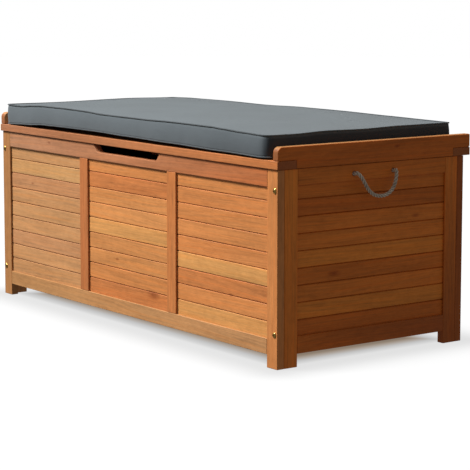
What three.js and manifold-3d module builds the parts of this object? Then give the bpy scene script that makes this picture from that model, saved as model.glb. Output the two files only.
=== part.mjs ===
// Deck storage box: a slatted wooden chest with a hinged lid on two gas struts, a loose seat
// cushion and a rope handle at each end.
// Units are millimetres. +X runs along the chest, -Y is its front, +Z is up, and the origin is on
// the ground under the middle of the lid.

import * as THREE from "three";
import { mergeVertices } from "three/addons/utils/BufferGeometryUtils.js";
import Module from "manifold-3d";

const wasm = await Module();
wasm.setup();

// ---------------------------------------------------------------- driving dimensions

const gap = 0.3; // between pieces that touch

// Lid, which sets the outline seen from above
const lidWidth = 1250;
const lidDepth = 588;
const lidThickness = 19;
const lidFrontRailDepth = 55;
const lidBackRailDepth = 54;
const lidBoardCount = 8;
const lidSideBoard = { thickness: 20, height: 51, noseRadius: 13, setback: 2 };
const lidGap = 1; // between the rim of the chest and the closed lid
const batten = { width: 32, height: 22, frontY: -258, middleFrontY: -200, backY: 248, outerX: 566 };

// Chest
const bodyWidth = 1240;
const bodyDepth = 567;
const bodyTop = 454.5;
const frontOverhang = 4.5; // of the lid, past the front of the chest
const frameThickness = 20;
const stileWidth = 38;
const mullionX = 200;
const railUnderside = 30.5; // clear height under the bottom rails
const slatThickness = 10;
const slatRecess = 5;
const slatPitch = 39.5;
const slatTongue = 5.5; // how far a panel of slats runs into the grooves round it
const veeDepth = 2.5;
const veeHalfWidth = 1.8;
const frontWallLevels = { bottomRailTop: 67.5, lowestJoint: 105.3, topRailUnderside: 414 };
const sideWallLevels = { bottomRailTop: 71, lowestJoint: 108, topRailUnderside: 417 };
const handNotch = { halfTop: 151, halfBottom: 134, depth: 20.5, cornerRadius: 6 };

// Floor
const cleat = { size: 20, bottom: 33 };
const floorThickness = 12;
const floorBoardCount = 12;

// Corner bolts of the front wall
const bolt = { heights: [79, 407], shankRadius: 3, length: 50, headRadius: 6.5, headHeight: 3.2 };
const boltX = (bodyWidth - frameThickness) / 2;
const boltSides = 14;

// Hinges
const hinge = { x: 400, width: 72, leafLength: 20, leafThickness: 1.8, knuckleRadius: 4, pinRadius: 2 };
const hingeBehindBody = 5; // from the back of the chest to the hinge pins

// Gas struts
const strut = { x: 586, cylinderRadius: 9, rodRadius: 4, eyeRadius: 7, eyeWidth: 12, studRadius: 3.5 };
const strutLidMount = { ahead: 120, below: 20 }; // from the hinge pins to the stud on the lid
const strutBodyMount = { ahead: 48.5, below: 225.5 }; // from the hinge pins to the stud on the wall
const strutCylinderStart = 14; // along the strut from its lower stud
const strutCylinderLength = 176;
const strutBoreDepth = 160;
const strutRodInside = 154;
const strutPlate = { width: 28, height: 46, thickness: 2 };

// Rope handles
const ropeRadius = 4.25;
const ropeHole = { radius: 5.5, fromMiddle: 60, z: 433 };
const ropeSides = 8;
const ropeSteps = 50;

// Cushion
const cushion = { width: 1174, frontY: -293.5, backY: 260, edgeHeight: 53, cornerRadius: 16, crown: 9 };

// ---------------------------------------------------------------- places that follow from them

const bodyFront = -lidDepth / 2 + frontOverhang;
const bodyBack = bodyFront + bodyDepth;
const bodyMiddleY = (bodyFront + bodyBack) / 2;
const lidBottom = bodyTop + lidGap;
const lidTop = lidBottom + lidThickness;
const hingeY = bodyBack + hingeBehindBody;
const hingeZ = bodyTop + lidGap / 2;

// ---------------------------------------------------------------- materials

function material(color, roughness, metalness = 0) {
  return new THREE.MeshStandardMaterial({ color, roughness, metalness });
}
const wood = material(0xb9713f, 0.55);
const darkWood = material(0xa2602f, 0.6);
const innerWood = material(0xc08a57, 0.7);
const brass = material(0xc9a227, 0.3, 1);
const steel = material(0xa8abad, 0.4, 1);
const blackSteel = material(0x1d1e20, 0.4, 0.6);
const ropeGrey = material(0x6f665c, 0.9);
const fabric = material(0x5a6066, 0.95);

// ---------------------------------------------------------------- solids

// A three.js geometry as a manifold solid, and back.
function solidOf(geometry) {
  const bare = geometry.clone();
  bare.deleteAttribute("normal");
  bare.deleteAttribute("uv");
  const merged = mergeVertices(bare, 1e-4);
  return new wasm.Manifold(
    new wasm.Mesh({
      numProp: 3,
      vertProperties: new Float32Array(merged.attributes.position.array),
      triVerts: new Uint32Array(merged.index.array),
    }),
  );
}

function geometryOf(solid) {
  const mesh = solid.getMesh();
  const geometry = new THREE.BufferGeometry();
  geometry.setAttribute("position", new THREE.BufferAttribute(mesh.vertProperties, 3));
  geometry.setIndex(new THREE.BufferAttribute(mesh.triVerts, 1));
  const faceted = geometry.toNonIndexed();
  faceted.computeVertexNormals();
  return faceted;
}

function cut(geometry, cutters) {
  let solid = solidOf(geometry);
  for (const cutter of cutters) {
    solid = solid.subtract(solidOf(cutter));
  }
  return geometryOf(solid);
}

function join(geometries) {
  let solid = solidOf(geometries[0]);
  for (const geometry of geometries.slice(1)) {
    solid = solid.add(solidOf(geometry));
  }
  return geometryOf(solid);
}

// A box between two opposite corners.
function block([x0, y0, z0], [x1, y1, z1]) {
  const box = new THREE.BoxGeometry(x1 - x0, y1 - y0, z1 - z0);
  return box.translate((x0 + x1) / 2, (y0 + y1) / 2, (z0 + z1) / 2);
}

// A cylinder about an axis parallel to X, Y or Z, between two distances along it.
function cylinder(axis, radius, from, to, [x, y, z], sides = 20) {
  const round = new THREE.CylinderGeometry(radius, radius, to - from, sides);
  round.translate(0, (from + to) / 2, 0);
  if (axis === "x") round.rotateZ(-Math.PI / 2);
  if (axis === "z") round.rotateX(Math.PI / 2);
  return round.translate(x, y, z);
}

const axisX = new THREE.Vector3(1, 0, 0);
const axisY = new THREE.Vector3(0, 1, 0);
const axisZ = new THREE.Vector3(0, 0, 1);

// A prism along X whose outline is given in Y and Z.
function prismAlongX(shape, x0, x1) {
  const prism = new THREE.ExtrudeGeometry(shape, { depth: x1 - x0, bevelEnabled: false });
  prism.applyMatrix4(new THREE.Matrix4().makeBasis(axisY, axisZ, axisX));
  return prism.translate(x0, 0, 0);
}

// A prism along Y whose outline is given in X and Z.
function prismAlongY(shape, y0, y1) {
  const prism = new THREE.ExtrudeGeometry(shape, { depth: y1 - y0, bevelEnabled: false });
  prism.applyMatrix4(new THREE.Matrix4().makeBasis(axisX, axisZ, axisY.clone().negate()));
  return prism.translate(0, y1, 0);
}

function shapeOf(points) {
  return new THREE.Shape(points.map(([x, y]) => new THREE.Vector2(x, y)));
}

function add(group, name, geometry, finish) {
  const mesh = new THREE.Mesh(geometry, finish);
  mesh.name = name;
  group.add(mesh);
  return mesh;
}

// ---------------------------------------------------------------- walls

// Heights of the joints between the slats of a wall.
function slatJoints(levels) {
  const joints = [];
  for (let z = levels.lowestJoint; z < levels.topRailUnderside - slatPitch / 3; z += slatPitch) {
    joints.push(z);
  }
  return joints;
}

// The section of a wall's slats, as (depth behind the outer face, height), with a vee at each
// joint on the outer face.
function slatSection(levels) {
  const outer = slatRecess;
  const inner = slatRecess + slatThickness;
  const low = levels.bottomRailTop - slatTongue;
  const high = levels.topRailUnderside + slatTongue;
  const outline = [[inner, high], [inner, low], [outer, low]].reverse();
  const face = [];
  for (const z of slatJoints(levels)) {
    face.push([outer, z - veeHalfWidth], [outer + veeDepth, z], [outer, z + veeHalfWidth]);
  }
  return shapeOf([outline[0], ...face, [outer, high], outline[2], outline[1]]);
}

// One wall: stiles, rails and mullions round panels of slats. In the wall's own group X runs
// along it, Z is up, and its outer face is Y = 0, with the inside at positive Y.
function wall({ label, width, levels, ends, mullions, bays, railOutline, cutters }) {
  const group = new THREE.Group();
  const half = width / 2;
  const inner = half - stileWidth;
  const slatLow = levels.bottomRailTop - slatTongue - gap;
  const slatHigh = levels.topRailUnderside + slatTongue + gap;
  const edges = [-inner, ...mullions.flatMap(([, x]) => [x - stileWidth / 2, x + stileWidth / 2]), inner];
  const grooves = bays.map((bay, i) =>
    block(
      [edges[2 * i] - slatTongue - gap, slatRecess - gap, slatLow],
      [edges[2 * i + 1] + slatTongue + gap, slatRecess + slatThickness + gap, slatHigh],
    ),
  );
  const holes = [...grooves, ...cutters];

  ends.forEach((end, i) => {
    const [x0, x1] = i === 0 ? [-half, -inner] : [inner, half];
    const stile = block([x0, 0, 0], [x1, frameThickness, bodyTop]);
    add(group, `${label}_stile_${end}`, cut(stile, holes), wood);
  });
  const topRail = railOutline
    ? prismAlongY(railOutline, 0, frameThickness)
    : block([-inner + gap, 0, levels.topRailUnderside], [inner - gap, frameThickness, bodyTop]);
  add(group, `${label}_top_rail`, cut(topRail, holes), wood);
  const bottomRail = block(
    [-inner + gap, 0, railUnderside],
    [inner - gap, frameThickness, levels.bottomRailTop],
  );
  add(group, `${label}_bottom_rail`, cut(bottomRail, holes), darkWood);
  for (const [name, x] of mullions) {
    const mullion = block(
      [x - stileWidth / 2, 0, levels.bottomRailTop + gap],
      [x + stileWidth / 2, frameThickness, levels.topRailUnderside - gap],
    );
    add(group, `${label}_mullion_${name}`, cut(mullion, holes), wood);
  }
  bays.forEach((bay, i) => {
    const x0 = edges[2 * i] - slatTongue;
    const x1 = edges[2 * i + 1] + slatTongue;
    const name = bay ? `${label}_slats_${bay}` : `${label}_slats`;
    add(group, name, prismAlongX(slatSection(levels), x0, x1), wood);
  });
  return group;
}

// The front top rail, with the hand notch in its upper edge.
function notchedRailOutline() {
  const half = bodyWidth / 2 - stileWidth - gap;
  const low = frontWallLevels.topRailUnderside;
  const floor = bodyTop - handNotch.depth;
  const { halfTop, halfBottom, cornerRadius } = handNotch;
  const slope = (halfTop - halfBottom) / handNotch.depth;
  const shape = new THREE.Shape();
  shape.moveTo(-half, low);
  shape.lineTo(half, low);
  shape.lineTo(half, bodyTop);
  shape.lineTo(halfTop, bodyTop);
  shape.lineTo(halfBottom + slope * cornerRadius, floor + cornerRadius);
  shape.quadraticCurveTo(halfBottom, floor, halfBottom - cornerRadius, floor);
  shape.lineTo(-halfBottom + cornerRadius, floor);
  shape.quadraticCurveTo(-halfBottom, floor, -halfBottom - slope * cornerRadius, floor + cornerRadius);
  shape.lineTo(-halfTop, bodyTop);
  shape.lineTo(-half, bodyTop);
  shape.closePath();
  return new THREE.Shape(shape.getPoints(4));
}

// The two mortises for the body leaves of the hinges, in the back wall's own group.
function hingeMortises() {
  const depth = hinge.leafThickness + gap;
  return [-hinge.x, hinge.x].map((x) =>
    block(
      [x - hinge.width / 2 - gap, -1, bodyTop - depth],
      [x + hinge.width / 2 + gap, hinge.leafLength - gap, bodyTop + 1],
    ),
  );
}

function walls() {
  const group = new THREE.Group();
  const boltHoleRadius = bolt.shankRadius + gap;

  const front = wall({
    label: "front",
    width: bodyWidth,
    levels: frontWallLevels,
    ends: ["left", "right"],
    mullions: [["left", -mullionX], ["right", mullionX]],
    bays: ["left", "middle", "right"],
    railOutline: notchedRailOutline(),
    cutters: [-boltX, boltX].flatMap((x) =>
      bolt.heights.map((z) => cylinder("y", boltHoleRadius, -1, frameThickness + 1, [x, 0, z], boltSides)),
    ),
  });
  front.position.y = bodyFront;

  const back = wall({
    label: "back",
    width: bodyWidth,
    levels: frontWallLevels,
    ends: ["right", "left"],
    mullions: [["right", -mullionX], ["left", mullionX]],
    bays: ["right", "middle", "left"],
    cutters: hingeMortises(),
  });
  back.rotation.z = Math.PI;
  back.position.y = bodyBack;
  group.add(front, back);

  // The side walls stand between the front and back walls.
  const sideWidth = bodyDepth - 2 * frameThickness - 2 * gap;
  for (const side of ["left", "right"]) {
    const out = side === "right" ? 1 : -1;
    const frontEnd = (-out * sideWidth) / 2;
    const reach = bolt.length - frameThickness;
    const boltHoles = bolt.heights.map((z) =>
      cylinder("x", boltHoleRadius, -reach, reach, [frontEnd, frameThickness / 2, z], boltSides),
    );
    const ropeHoles = [-ropeHole.fromMiddle, ropeHole.fromMiddle].map((x) =>
      cylinder("y", ropeHole.radius, -1, frameThickness + 1, [x, 0, ropeHole.z]),
    );
    const panel = wall({
      label: `side_${side}`,
      width: sideWidth,
      levels: sideWallLevels,
      ends: out > 0 ? ["front", "back"] : ["back", "front"],
      mullions: [],
      bays: [""],
      cutters: [...boltHoles, ...ropeHoles],
    });
    panel.rotation.z = (out * Math.PI) / 2;
    panel.position.set((out * bodyWidth) / 2, bodyMiddleY, 0);
    group.add(panel);
  }
  return group;
}

// ---------------------------------------------------------------- floor and bolts

function floor() {
  const group = new THREE.Group();
  const halfX = bodyWidth / 2 - frameThickness - gap;
  const y0 = bodyFront + frameThickness + gap;
  const y1 = bodyBack - frameThickness - gap;
  const cleatTop = cleat.bottom + cleat.size;
  for (const [end, y] of [["front", y0], ["back", y1 - cleat.size]]) {
    const bar = block([-halfX, y, cleat.bottom], [halfX, y + cleat.size, cleatTop]);
    add(group, `floor_cleat_${end}`, bar, innerWood);
  }

  const low = cleatTop + gap;
  const high = low + floorThickness;
  const boardWidth = (2 * halfX) / floorBoardCount;
  const outline = [[-halfX, high], [-halfX, low], [halfX, low], [halfX, high]];
  for (let i = floorBoardCount - 1; i > 0; i -= 1) {
    const x = -halfX + i * boardWidth;
    outline.push([x + veeHalfWidth, high], [x, high - veeDepth], [x - veeHalfWidth, high]);
  }
  add(group, "floor_boards", prismAlongY(shapeOf(outline), y0, y1), innerWood);
  return group;
}

function bolts() {
  const group = new THREE.Group();
  const profile = [new THREE.Vector2(0, -bolt.length), new THREE.Vector2(bolt.shankRadius, -bolt.length)];
  profile.push(new THREE.Vector2(bolt.shankRadius, gap));
  const domeSteps = 4;
  for (let i = 0; i <= domeSteps; i += 1) {
    const turn = (i / domeSteps) * (Math.PI / 2);
    profile.push(
      new THREE.Vector2(bolt.headRadius * Math.cos(turn), gap + bolt.headHeight * Math.sin(turn)),
    );
  }
  for (const side of ["left", "right"]) {
    bolt.heights.forEach((z, i) => {
      const name = `bolt_${side}_${i === 0 ? "lower" : "upper"}`;
      const mesh = add(group, name, new THREE.LatheGeometry(profile, boltSides), brass);
      mesh.rotation.x = Math.PI; // the head faces forwards
      mesh.position.set(side === "right" ? boltX : -boltX, bodyFront, z);
    });
  }
  return group;
}

// ---------------------------------------------------------------- lid

// The lid's end board: it stands on the ends of the front and back rails and reaches down between
// them, and its upper front corner is rounded.
function sideBoardOutline() {
  const front = -lidDepth / 2 + lidSideBoard.setback;
  const back = lidDepth / 2;
  const top = lidBottom + lidSideBoard.height;
  const overRails = lidTop + gap;
  const shape = new THREE.Shape();
  shape.moveTo(-lidDepth / 2 + lidFrontRailDepth + gap, lidBottom);
  shape.lineTo(back - lidBackRailDepth - gap, lidBottom);
  shape.lineTo(back - lidBackRailDepth - gap, overRails);
  shape.lineTo(back, overRails);
  shape.lineTo(back, top);
  shape.lineTo(front + lidSideBoard.noseRadius, top);
  const middle = [front + lidSideBoard.noseRadius, top - lidSideBoard.noseRadius];
  shape.absarc(...middle, lidSideBoard.noseRadius, Math.PI / 2, Math.PI, false);
  shape.lineTo(front, overRails);
  shape.lineTo(-lidDepth / 2 + lidFrontRailDepth + gap, overRails);
  shape.closePath();
  return new THREE.Shape(shape.getPoints(8));
}

function lid() {
  const group = new THREE.Group();
  const half = lidWidth / 2;
  const front = -lidDepth / 2;
  const back = lidDepth / 2;
  const frontRail = block([-half, front, lidBottom], [half, front + lidFrontRailDepth, lidTop]);
  add(group, "lid_front_rail", frontRail, wood);

  // The back rail has a mortise for each hinge leaf and room for its knuckles.
  const mortises = [-hinge.x, hinge.x].flatMap((x) => {
    const x0 = x - hinge.width / 2 - gap;
    const x1 = x + hinge.width / 2 + gap;
    const leafTop = lidBottom + hinge.leafThickness + gap;
    const room = hinge.knuckleRadius + 2 * gap;
    return [
      block([x0, bodyBack - hinge.leafLength + gap, lidBottom - 1], [x1, hingeY, leafTop]),
      block([x0, hingeY - room, lidBottom - 1], [x1, hingeY + room, hingeZ + room]),
    ];
  });
  const backRail = block([-half, back - lidBackRailDepth, lidBottom], [half, back, lidTop]);
  add(group, "lid_back_rail", cut(backRail, mortises), wood);

  for (const side of ["left", "right"]) {
    const x0 = side === "right" ? half - lidSideBoard.thickness : -half;
    const board = prismAlongX(sideBoardOutline(), x0, x0 + lidSideBoard.thickness);
    add(group, `lid_side_board_${side}`, board, wood);
  }

  const y0 = front + lidFrontRailDepth + gap;
  const y1 = back - lidBackRailDepth - gap;
  const boardDepth = (y1 - y0) / lidBoardCount;
  const outline = [[y0, lidBottom], [y1, lidBottom], [y1, lidTop]];
  for (let i = lidBoardCount - 1; i > 0; i -= 1) {
    const y = y0 + i * boardDepth;
    outline.push([y + veeHalfWidth, lidTop], [y, lidTop - veeDepth], [y - veeHalfWidth, lidTop]);
  }
  outline.push([y0, lidTop]);
  const panelHalf = half - lidSideBoard.thickness - gap;
  add(group, "lid_boards", prismAlongX(shapeOf(outline), -panelHalf, panelHalf), innerWood);

  // The middle batten starts further back, clear of the fingers in the hand notch.
  const battenX = batten.outerX - batten.width / 2;
  const { frontY, middleFrontY } = batten;
  const bars = [["left", -battenX, frontY], ["middle", 0, middleFrontY], ["right", battenX, frontY]];
  for (const [name, x, startY] of bars) {
    const bar = block(
      [x - batten.width / 2, startY, lidBottom - gap - batten.height],
      [x + batten.width / 2, batten.backY, lidBottom - gap],
    );
    add(group, `lid_batten_${name}`, bar, innerWood);
  }
  return group;
}

// ---------------------------------------------------------------- hinges

// One leaf: a plate with knuckles on the stretches given along X. side is -1 for the leaf on the
// chest, whose plate is under the pin, and 1 for the leaf on the lid.
function leaf(side, knuckles, otherKnuckles) {
  const plateNear = (side * lidGap) / 2;
  const plateFar = plateNear + side * hinge.leafThickness;
  const low = Math.min(plateNear, plateFar);
  const high = Math.max(plateNear, plateFar);
  const reach = -hingeBehindBody - hinge.leafLength + 3 * gap;
  const half = hinge.width / 2;
  const plate = block([-half, reach, low], [half, 0, high]);
  const rounds = knuckles.map(([x0, x1]) => cylinder("x", hinge.knuckleRadius, x0, x1, [0, 0, 0]));
  const room = hinge.knuckleRadius + 1.5 * gap;
  const clearance = otherKnuckles.map(([x0, x1]) =>
    block([x0 - gap, -room, -room], [x1 + gap, room, room]),
  );
  const bore = cylinder("x", hinge.pinRadius + 0.1, -half - 1, half + 1, [0, 0, 0]);
  const body = cut(plate, clearance);
  return cut(join([body, ...rounds]), [bore]);
}

function hinges() {
  const group = new THREE.Group();
  const half = hinge.width / 2;
  const middle = [[-half / 3 + gap / 2, half / 3 - gap / 2]];
  const outer = [[-half, -half / 3 - gap / 2], [half / 3 + gap / 2, half]];
  for (const side of ["left", "right"]) {
    const one = new THREE.Group();
    one.position.set(side === "right" ? hinge.x : -hinge.x, hingeY, hingeZ);
    add(one, `hinge_${side}_body_leaf`, leaf(-1, outer, middle), steel);
    add(one, `hinge_${side}_lid_leaf`, leaf(1, middle, outer), steel);
    add(one, `hinge_${side}_pin`, cylinder("x", hinge.pinRadius, -half, half, [0, 0, 0]), steel);
    group.add(one);
  }
  return group;
}

// ---------------------------------------------------------------- gas struts

// A strut is built along its own +Z from the lower stud, then leaned forwards about X. out is the
// direction along X from the strut to the wall.
function gasStrut(side) {
  const group = new THREE.Group();
  const out = side === "right" ? 1 : -1;
  const lower = new THREE.Vector2(hingeY - strutBodyMount.ahead, hingeZ - strutBodyMount.below);
  const upper = new THREE.Vector2(hingeY - strutLidMount.ahead, hingeZ - strutLidMount.below);
  const length = lower.distanceTo(upper);
  const cylinderTop = strutCylinderStart + strutCylinderLength;
  const halfEye = strut.eyeWidth / 2;
  const studClearance = 0.2;

  const leaning = new THREE.Group();
  leaning.position.set(out * strut.x, lower.x, lower.y);
  leaning.rotation.x = Math.atan2(lower.x - upper.x, upper.y - lower.y);
  const eye = cylinder("x", strut.eyeRadius, -halfEye, halfEye, [0, 0, 0]);
  const neck = cylinder("z", strut.rodRadius, 0, strutCylinderStart + 1, [0, 0, 0]);
  const tube = cylinder("z", strut.cylinderRadius, strutCylinderStart, cylinderTop, [0, 0, 0]);
  const bore = cylinder(
    "z", strut.rodRadius + gap, cylinderTop - strutBoreDepth, cylinderTop + 1, [0, 0, 0],
  );
  const socket = cylinder("x", strut.studRadius + studClearance, -2, halfEye + 1, [0, 0, 0]);
  if (out < 0) socket.rotateZ(Math.PI);
  add(leaning, `strut_${side}_cylinder`, cut(join([neck, eye, tube]), [bore, socket]), blackSteel);

  const rodBottom = cylinderTop - strutRodInside;
  const rod = cylinder("z", strut.rodRadius, rodBottom, length, [0, 0, 0]);
  const upperEye = cylinder("x", strut.eyeRadius, -halfEye, halfEye, [0, 0, length]);
  add(leaning, `strut_${side}_rod`, join([rod, upperEye]), steel);
  group.add(leaning);

  // Each bracket is a plate with a stud. The wall's stud runs into the strut's lower eye, and the
  // lid's stops short of the upper eye's face.
  const wallFace = bodyWidth / 2 - frameThickness - gap;
  const plateX = wallFace - strutPlate.thickness;
  const halfPlate = strutPlate.width / 2;
  const wallBracket = join([
    block([plateX, -halfPlate, -strutPlate.height / 2], [wallFace, halfPlate, strutPlate.height / 2]),
    cylinder("x", strut.studRadius, strut.x - 1, plateX + 1, [0, 0, 0]),
  ]);
  const battenFace = batten.outerX + gap;
  const lidPlateBottom = lidBottom - batten.height - upper.y;
  const lidPlateTop = lidBottom - gap - upper.y;
  const lidBracket = join([
    block(
      [battenFace, -strutPlate.height / 2, lidPlateBottom],
      [battenFace + strutPlate.thickness, strutPlate.height / 2, lidPlateTop],
    ),
    cylinder("x", strut.studRadius, battenFace + 1, strut.x - halfEye - gap, [0, 0, 0]),
  ]);
  const brackets = [["body", wallBracket, lower], ["lid", lidBracket, upper]];
  for (const [end, bracket, stud] of brackets) {
    const mesh = add(group, `strut_${side}_${end}_bracket`, bracket, steel);
    mesh.position.set(0, stud.x, stud.y);
    if (out < 0) mesh.rotation.z = Math.PI;
  }
  return group;
}

// ---------------------------------------------------------------- rope handles

// The rope of the right-hand handle, from its front hole to its back hole: distance out from the
// wall, distance behind the middle of the wall, and height. It comes straight out, turns down and
// hangs in a loop.
const ropeRoute = [
  [0.4, -60, 433],
  [3, -60, 433],
  [8.5, -59.2, 431.8],
  [13.4, -57.2, 428.6],
  [17, -53.8, 423.8],
  [18.8, -49.6, 417.6],
  [19, -44.4, 410.4],
  [18.4, -38.4, 402.6],
  [17.6, -31.6, 395.2],
  [16.6, -23.4, 388.2],
  [15.8, -13.4, 382.4],
  [15.2, -2, 378.8],
  [15, 10, 377.6],
  [15.2, 21.6, 378.8],
  [15.8, 31.6, 382.6],
  [16.8, 40, 389.4],
  [17.8, 46, 398.2],
  [18.6, 49.8, 408],
  [18.6, 52.4, 417.6],
  [16.8, 55, 424.4],
  [13.2, 57.6, 429.2],
  [8.4, 59.4, 432],
  [3, 60, 433],
  [0.4, 60, 433],
];

function ropeHandle(side) {
  const out = side === "right" ? 1 : -1;
  const points = ropeRoute.map(([x, y, z]) => new THREE.Vector3(out * x, y, z));
  const circle = [];
  for (let i = 0; i < ropeSides; i += 1) {
    const turn = (2 * Math.PI * i) / ropeSides;
    circle.push([ropeRadius * Math.cos(turn), ropeRadius * Math.sin(turn)]);
  }
  const rope = new THREE.ExtrudeGeometry(shapeOf(circle), {
    steps: ropeSteps,
    extrudePath: new THREE.CatmullRomCurve3(points),
  });
  return rope.translate((out * bodyWidth) / 2, bodyMiddleY, 0);
}

// ---------------------------------------------------------------- cushion

// A pad with round corners, drawn in a little at its top and bottom edges.
function cushionPad() {
  const { width, frontY, backY, edgeHeight, cornerRadius: r, crown } = cushion;
  const inset = crown / 2;
  const x = width / 2 - inset;
  const y = (backY - frontY) / 2 - inset;
  const shape = new THREE.Shape();
  shape.moveTo(-x + r, -y);
  shape.lineTo(x - r, -y);
  shape.absarc(x - r, -y + r, r, -Math.PI / 2, 0, false);
  shape.lineTo(x, y - r);
  shape.absarc(x - r, y - r, r, 0, Math.PI / 2, false);
  shape.lineTo(-x + r, y);
  shape.absarc(-x + r, y - r, r, Math.PI / 2, Math.PI, false);
  shape.lineTo(-x, -y + r);
  shape.absarc(-x + r, -y + r, r, Math.PI, 1.5 * Math.PI, false);
  const pad = new THREE.ExtrudeGeometry(shape, {
    depth: edgeHeight,
    curveSegments: 4,
    bevelThickness: inset,
    bevelSize: inset,
    bevelSegments: 2,
  });
  return pad.translate(0, (frontY + backY) / 2, lidTop + gap + inset);
}

// ---------------------------------------------------------------- assembly

const box = new THREE.Group();
box.add(walls(), floor(), bolts(), lid(), hinges());
for (const side of ["left", "right"]) {
  box.add(gasStrut(side));
  add(box, `rope_handle_${side}`, ropeHandle(side), ropeGrey);
}
add(box, "cushion", cushionPad(), fabric);

export default box;
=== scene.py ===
"""Deck storage box: the visual model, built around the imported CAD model.

Everything is in metres and in the CAD model's frame: +X along the box to the right when seen from
its front, +Y to its back, +Z up, and the front is -Y. Timber pieces start from the CAD nodes or
from their boxes, get softened edges, and carry their own stretch of grain and their own colour.
"""
import math
import random

import bmesh
import bpy
import numpy as np
from mathutils import Matrix, Vector, noise
from mathutils.geometry import tessellate_polygon


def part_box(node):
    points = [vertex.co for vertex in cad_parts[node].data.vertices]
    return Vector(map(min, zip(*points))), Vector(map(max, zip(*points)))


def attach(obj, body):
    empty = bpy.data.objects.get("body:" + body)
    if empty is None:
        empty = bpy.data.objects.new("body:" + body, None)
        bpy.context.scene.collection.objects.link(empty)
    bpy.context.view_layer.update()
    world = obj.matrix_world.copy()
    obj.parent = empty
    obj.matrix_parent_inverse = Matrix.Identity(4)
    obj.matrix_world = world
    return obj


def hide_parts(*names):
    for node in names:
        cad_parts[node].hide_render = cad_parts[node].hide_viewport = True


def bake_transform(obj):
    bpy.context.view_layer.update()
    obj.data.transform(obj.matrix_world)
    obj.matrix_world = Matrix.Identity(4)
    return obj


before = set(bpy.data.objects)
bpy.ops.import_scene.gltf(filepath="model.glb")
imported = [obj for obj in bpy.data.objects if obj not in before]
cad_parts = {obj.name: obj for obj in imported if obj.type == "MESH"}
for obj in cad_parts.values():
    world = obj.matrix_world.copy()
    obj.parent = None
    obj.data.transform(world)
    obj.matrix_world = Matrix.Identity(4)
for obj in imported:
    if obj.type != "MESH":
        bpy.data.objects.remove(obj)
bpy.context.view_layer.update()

MM = 0.001
SIDES = {"left": -1, "right": 1}
X, Y, Z = Vector((1, 0, 0)), Vector((0, 1, 0)), Vector((0, 0, 1))

# ---- sizes that the frame doesn't hold

SLAT_PITCH = 39.5 * MM
SLATS = 9
FRONT_LOWEST_JOINT = 105.3 * MM
SIDE_LOWEST_JOINT = 108 * MM
SLAT_TONGUE = 5 * MM
LID_BOARDS = 8
FLOOR_BOARDS = 12
LOG_HEART_DISTANCE = (28, 95)
WOOD_EDGE = 1.3 * MM
LID_SIDE_EDGE = 2.6 * MM
ROPE_DIAMETER = 9 * MM
ROPE_LAY = 27 * MM
ROPE_STEP = 1.6 * MM
WALL_THICKNESS = 20 * MM
HINGE_LEAF = 24 * MM
HINGE_GAP = 2.6 * MM
STRUT_STUD_X = 586 * MM
STRUT_LOW_STUD = Vector((0, 234, 229.5)) * MM
STRUT_HIGH_STUD = Vector((0, 162.5, 435)) * MM

# Sizes of turned hardware, in mm. Hinge screws are (along the pin, distance from it), and strut
# screws are (across, up) from the stud.
BOLT_HEAD_RADIUS = 6.5
BOLT_HEAD_HEIGHT = 3.2
BOLT_SOCKET_RADIUS = 2.1
BOLT_SOCKET_DEPTH = 1.7
HINGE_SCREWS = [(-24, 9.5), (0, 15.5), (24, 9.5)]
HINGE_SCREW_RADIUS = 3.1
STRUT_SCREWS = {"body": [(0, -16), (0, 16)], "lid": [(-16, 8), (16, 8)]}
STRUT_SCREW_RADIUS = 2.9
WOOD_SCREW_RADIUS = 3.2
KNUCKLE_RADIUS = 3.95
KNUCKLE_BORE = 2.15
MIDDLE_KNUCKLE_END = 11.8
OUTER_KNUCKLE_START = 12.2
STRUT_EYE_RADIUS = 7
STRUT_EYE_HALF = 6
STRUT_EYE_BORE = 3.7
STUD_RADIUS = 3.45

# The camera. Angles are in degrees.
LENS = 140.84
LENS_SHIFT = -0.0936
CAMERA_PLACE = (3.8397, -2.7909, 0.9035)
CAMERA_TURN, CAMERA_DOWN, CAMERA_ROLL = 53.493, 6.926, 0.053

# The cushion. Seam heights are over the lid in mm, at places along each edge in mm.
CUSHION_CELL = 9 * MM
CUSHION_LEVELS = 6
CORNER_ZONE = 72 * MM
CORNER_RADII = {
    (False, False): 5 * MM, (True, False): 26 * MM, (False, True): 12 * MM, (True, True): 5 * MM,
}
COVER_SLACK = 2 * MM
EDGE_PULL = 3.2 * MM
EDGE_RIPPLE = 0.7 * MM
CROWN = 9 * MM
UNDERSIDE_SAG = 14 * MM
BOXING_BULGE = 5 * MM
START_BULGE = 2.2 * MM
PUCKERS = 1.5 * MM
PUCKER_REACH = 16 * MM
DENTS = 1.1 * MM
DENT_REACH = 60 * MM
CREASES = 0.35 * MM
PIPING_RADIUS = 1.7 * MM
PIPING_PROUD = 0.9 * MM
# The bluish dark of the painted shade on the cushion's boxing.
PAINTED_SHADE_CLOTH = (34, 42, 50)
TOP_SEAM = {
    "front": [
        (-587, 54.5), (-550, 54), (-508, 54.5), (-454, 58.5), (-401, 61), (-270, 62), (-200, 61),
        (-104, 58), (80, 58), (209, 59.8), (374, 59.8), (413, 58), (491, 55.7), (587, 54),
    ],
    "right": [(-293, 54), (-215, 53.5), (-123, 56), (-10, 54.5), (100, 56.5), (262, 56.5)],
    "back": [
        (-587, 52), (-490, 54.5), (-320, 56), (-140, 55.3), (30, 58.3), (200, 58.3), (370, 56.5),
        (587, 54.8),
    ],
    "left": [(-293, 54.5), (-120, 53), (90, 54.5), (262, 51)],
}
BOTTOM_SEAM = {
    "front": [
        (-587, 4), (-480, 8), (-400, 12.5), (-250, 14), (-115, 14), (0, 12), (200, 10), (400, 7.5),
        (587, 6),
    ],
    "right": [(-293, 6), (0, 6), (262, 4)],
    "back": [(-587, 4), (-250, 7), (90, 4.5), (587, 4)],
    "left": [(-293, 4), (-60, 7), (262, 4)],
}
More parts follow.
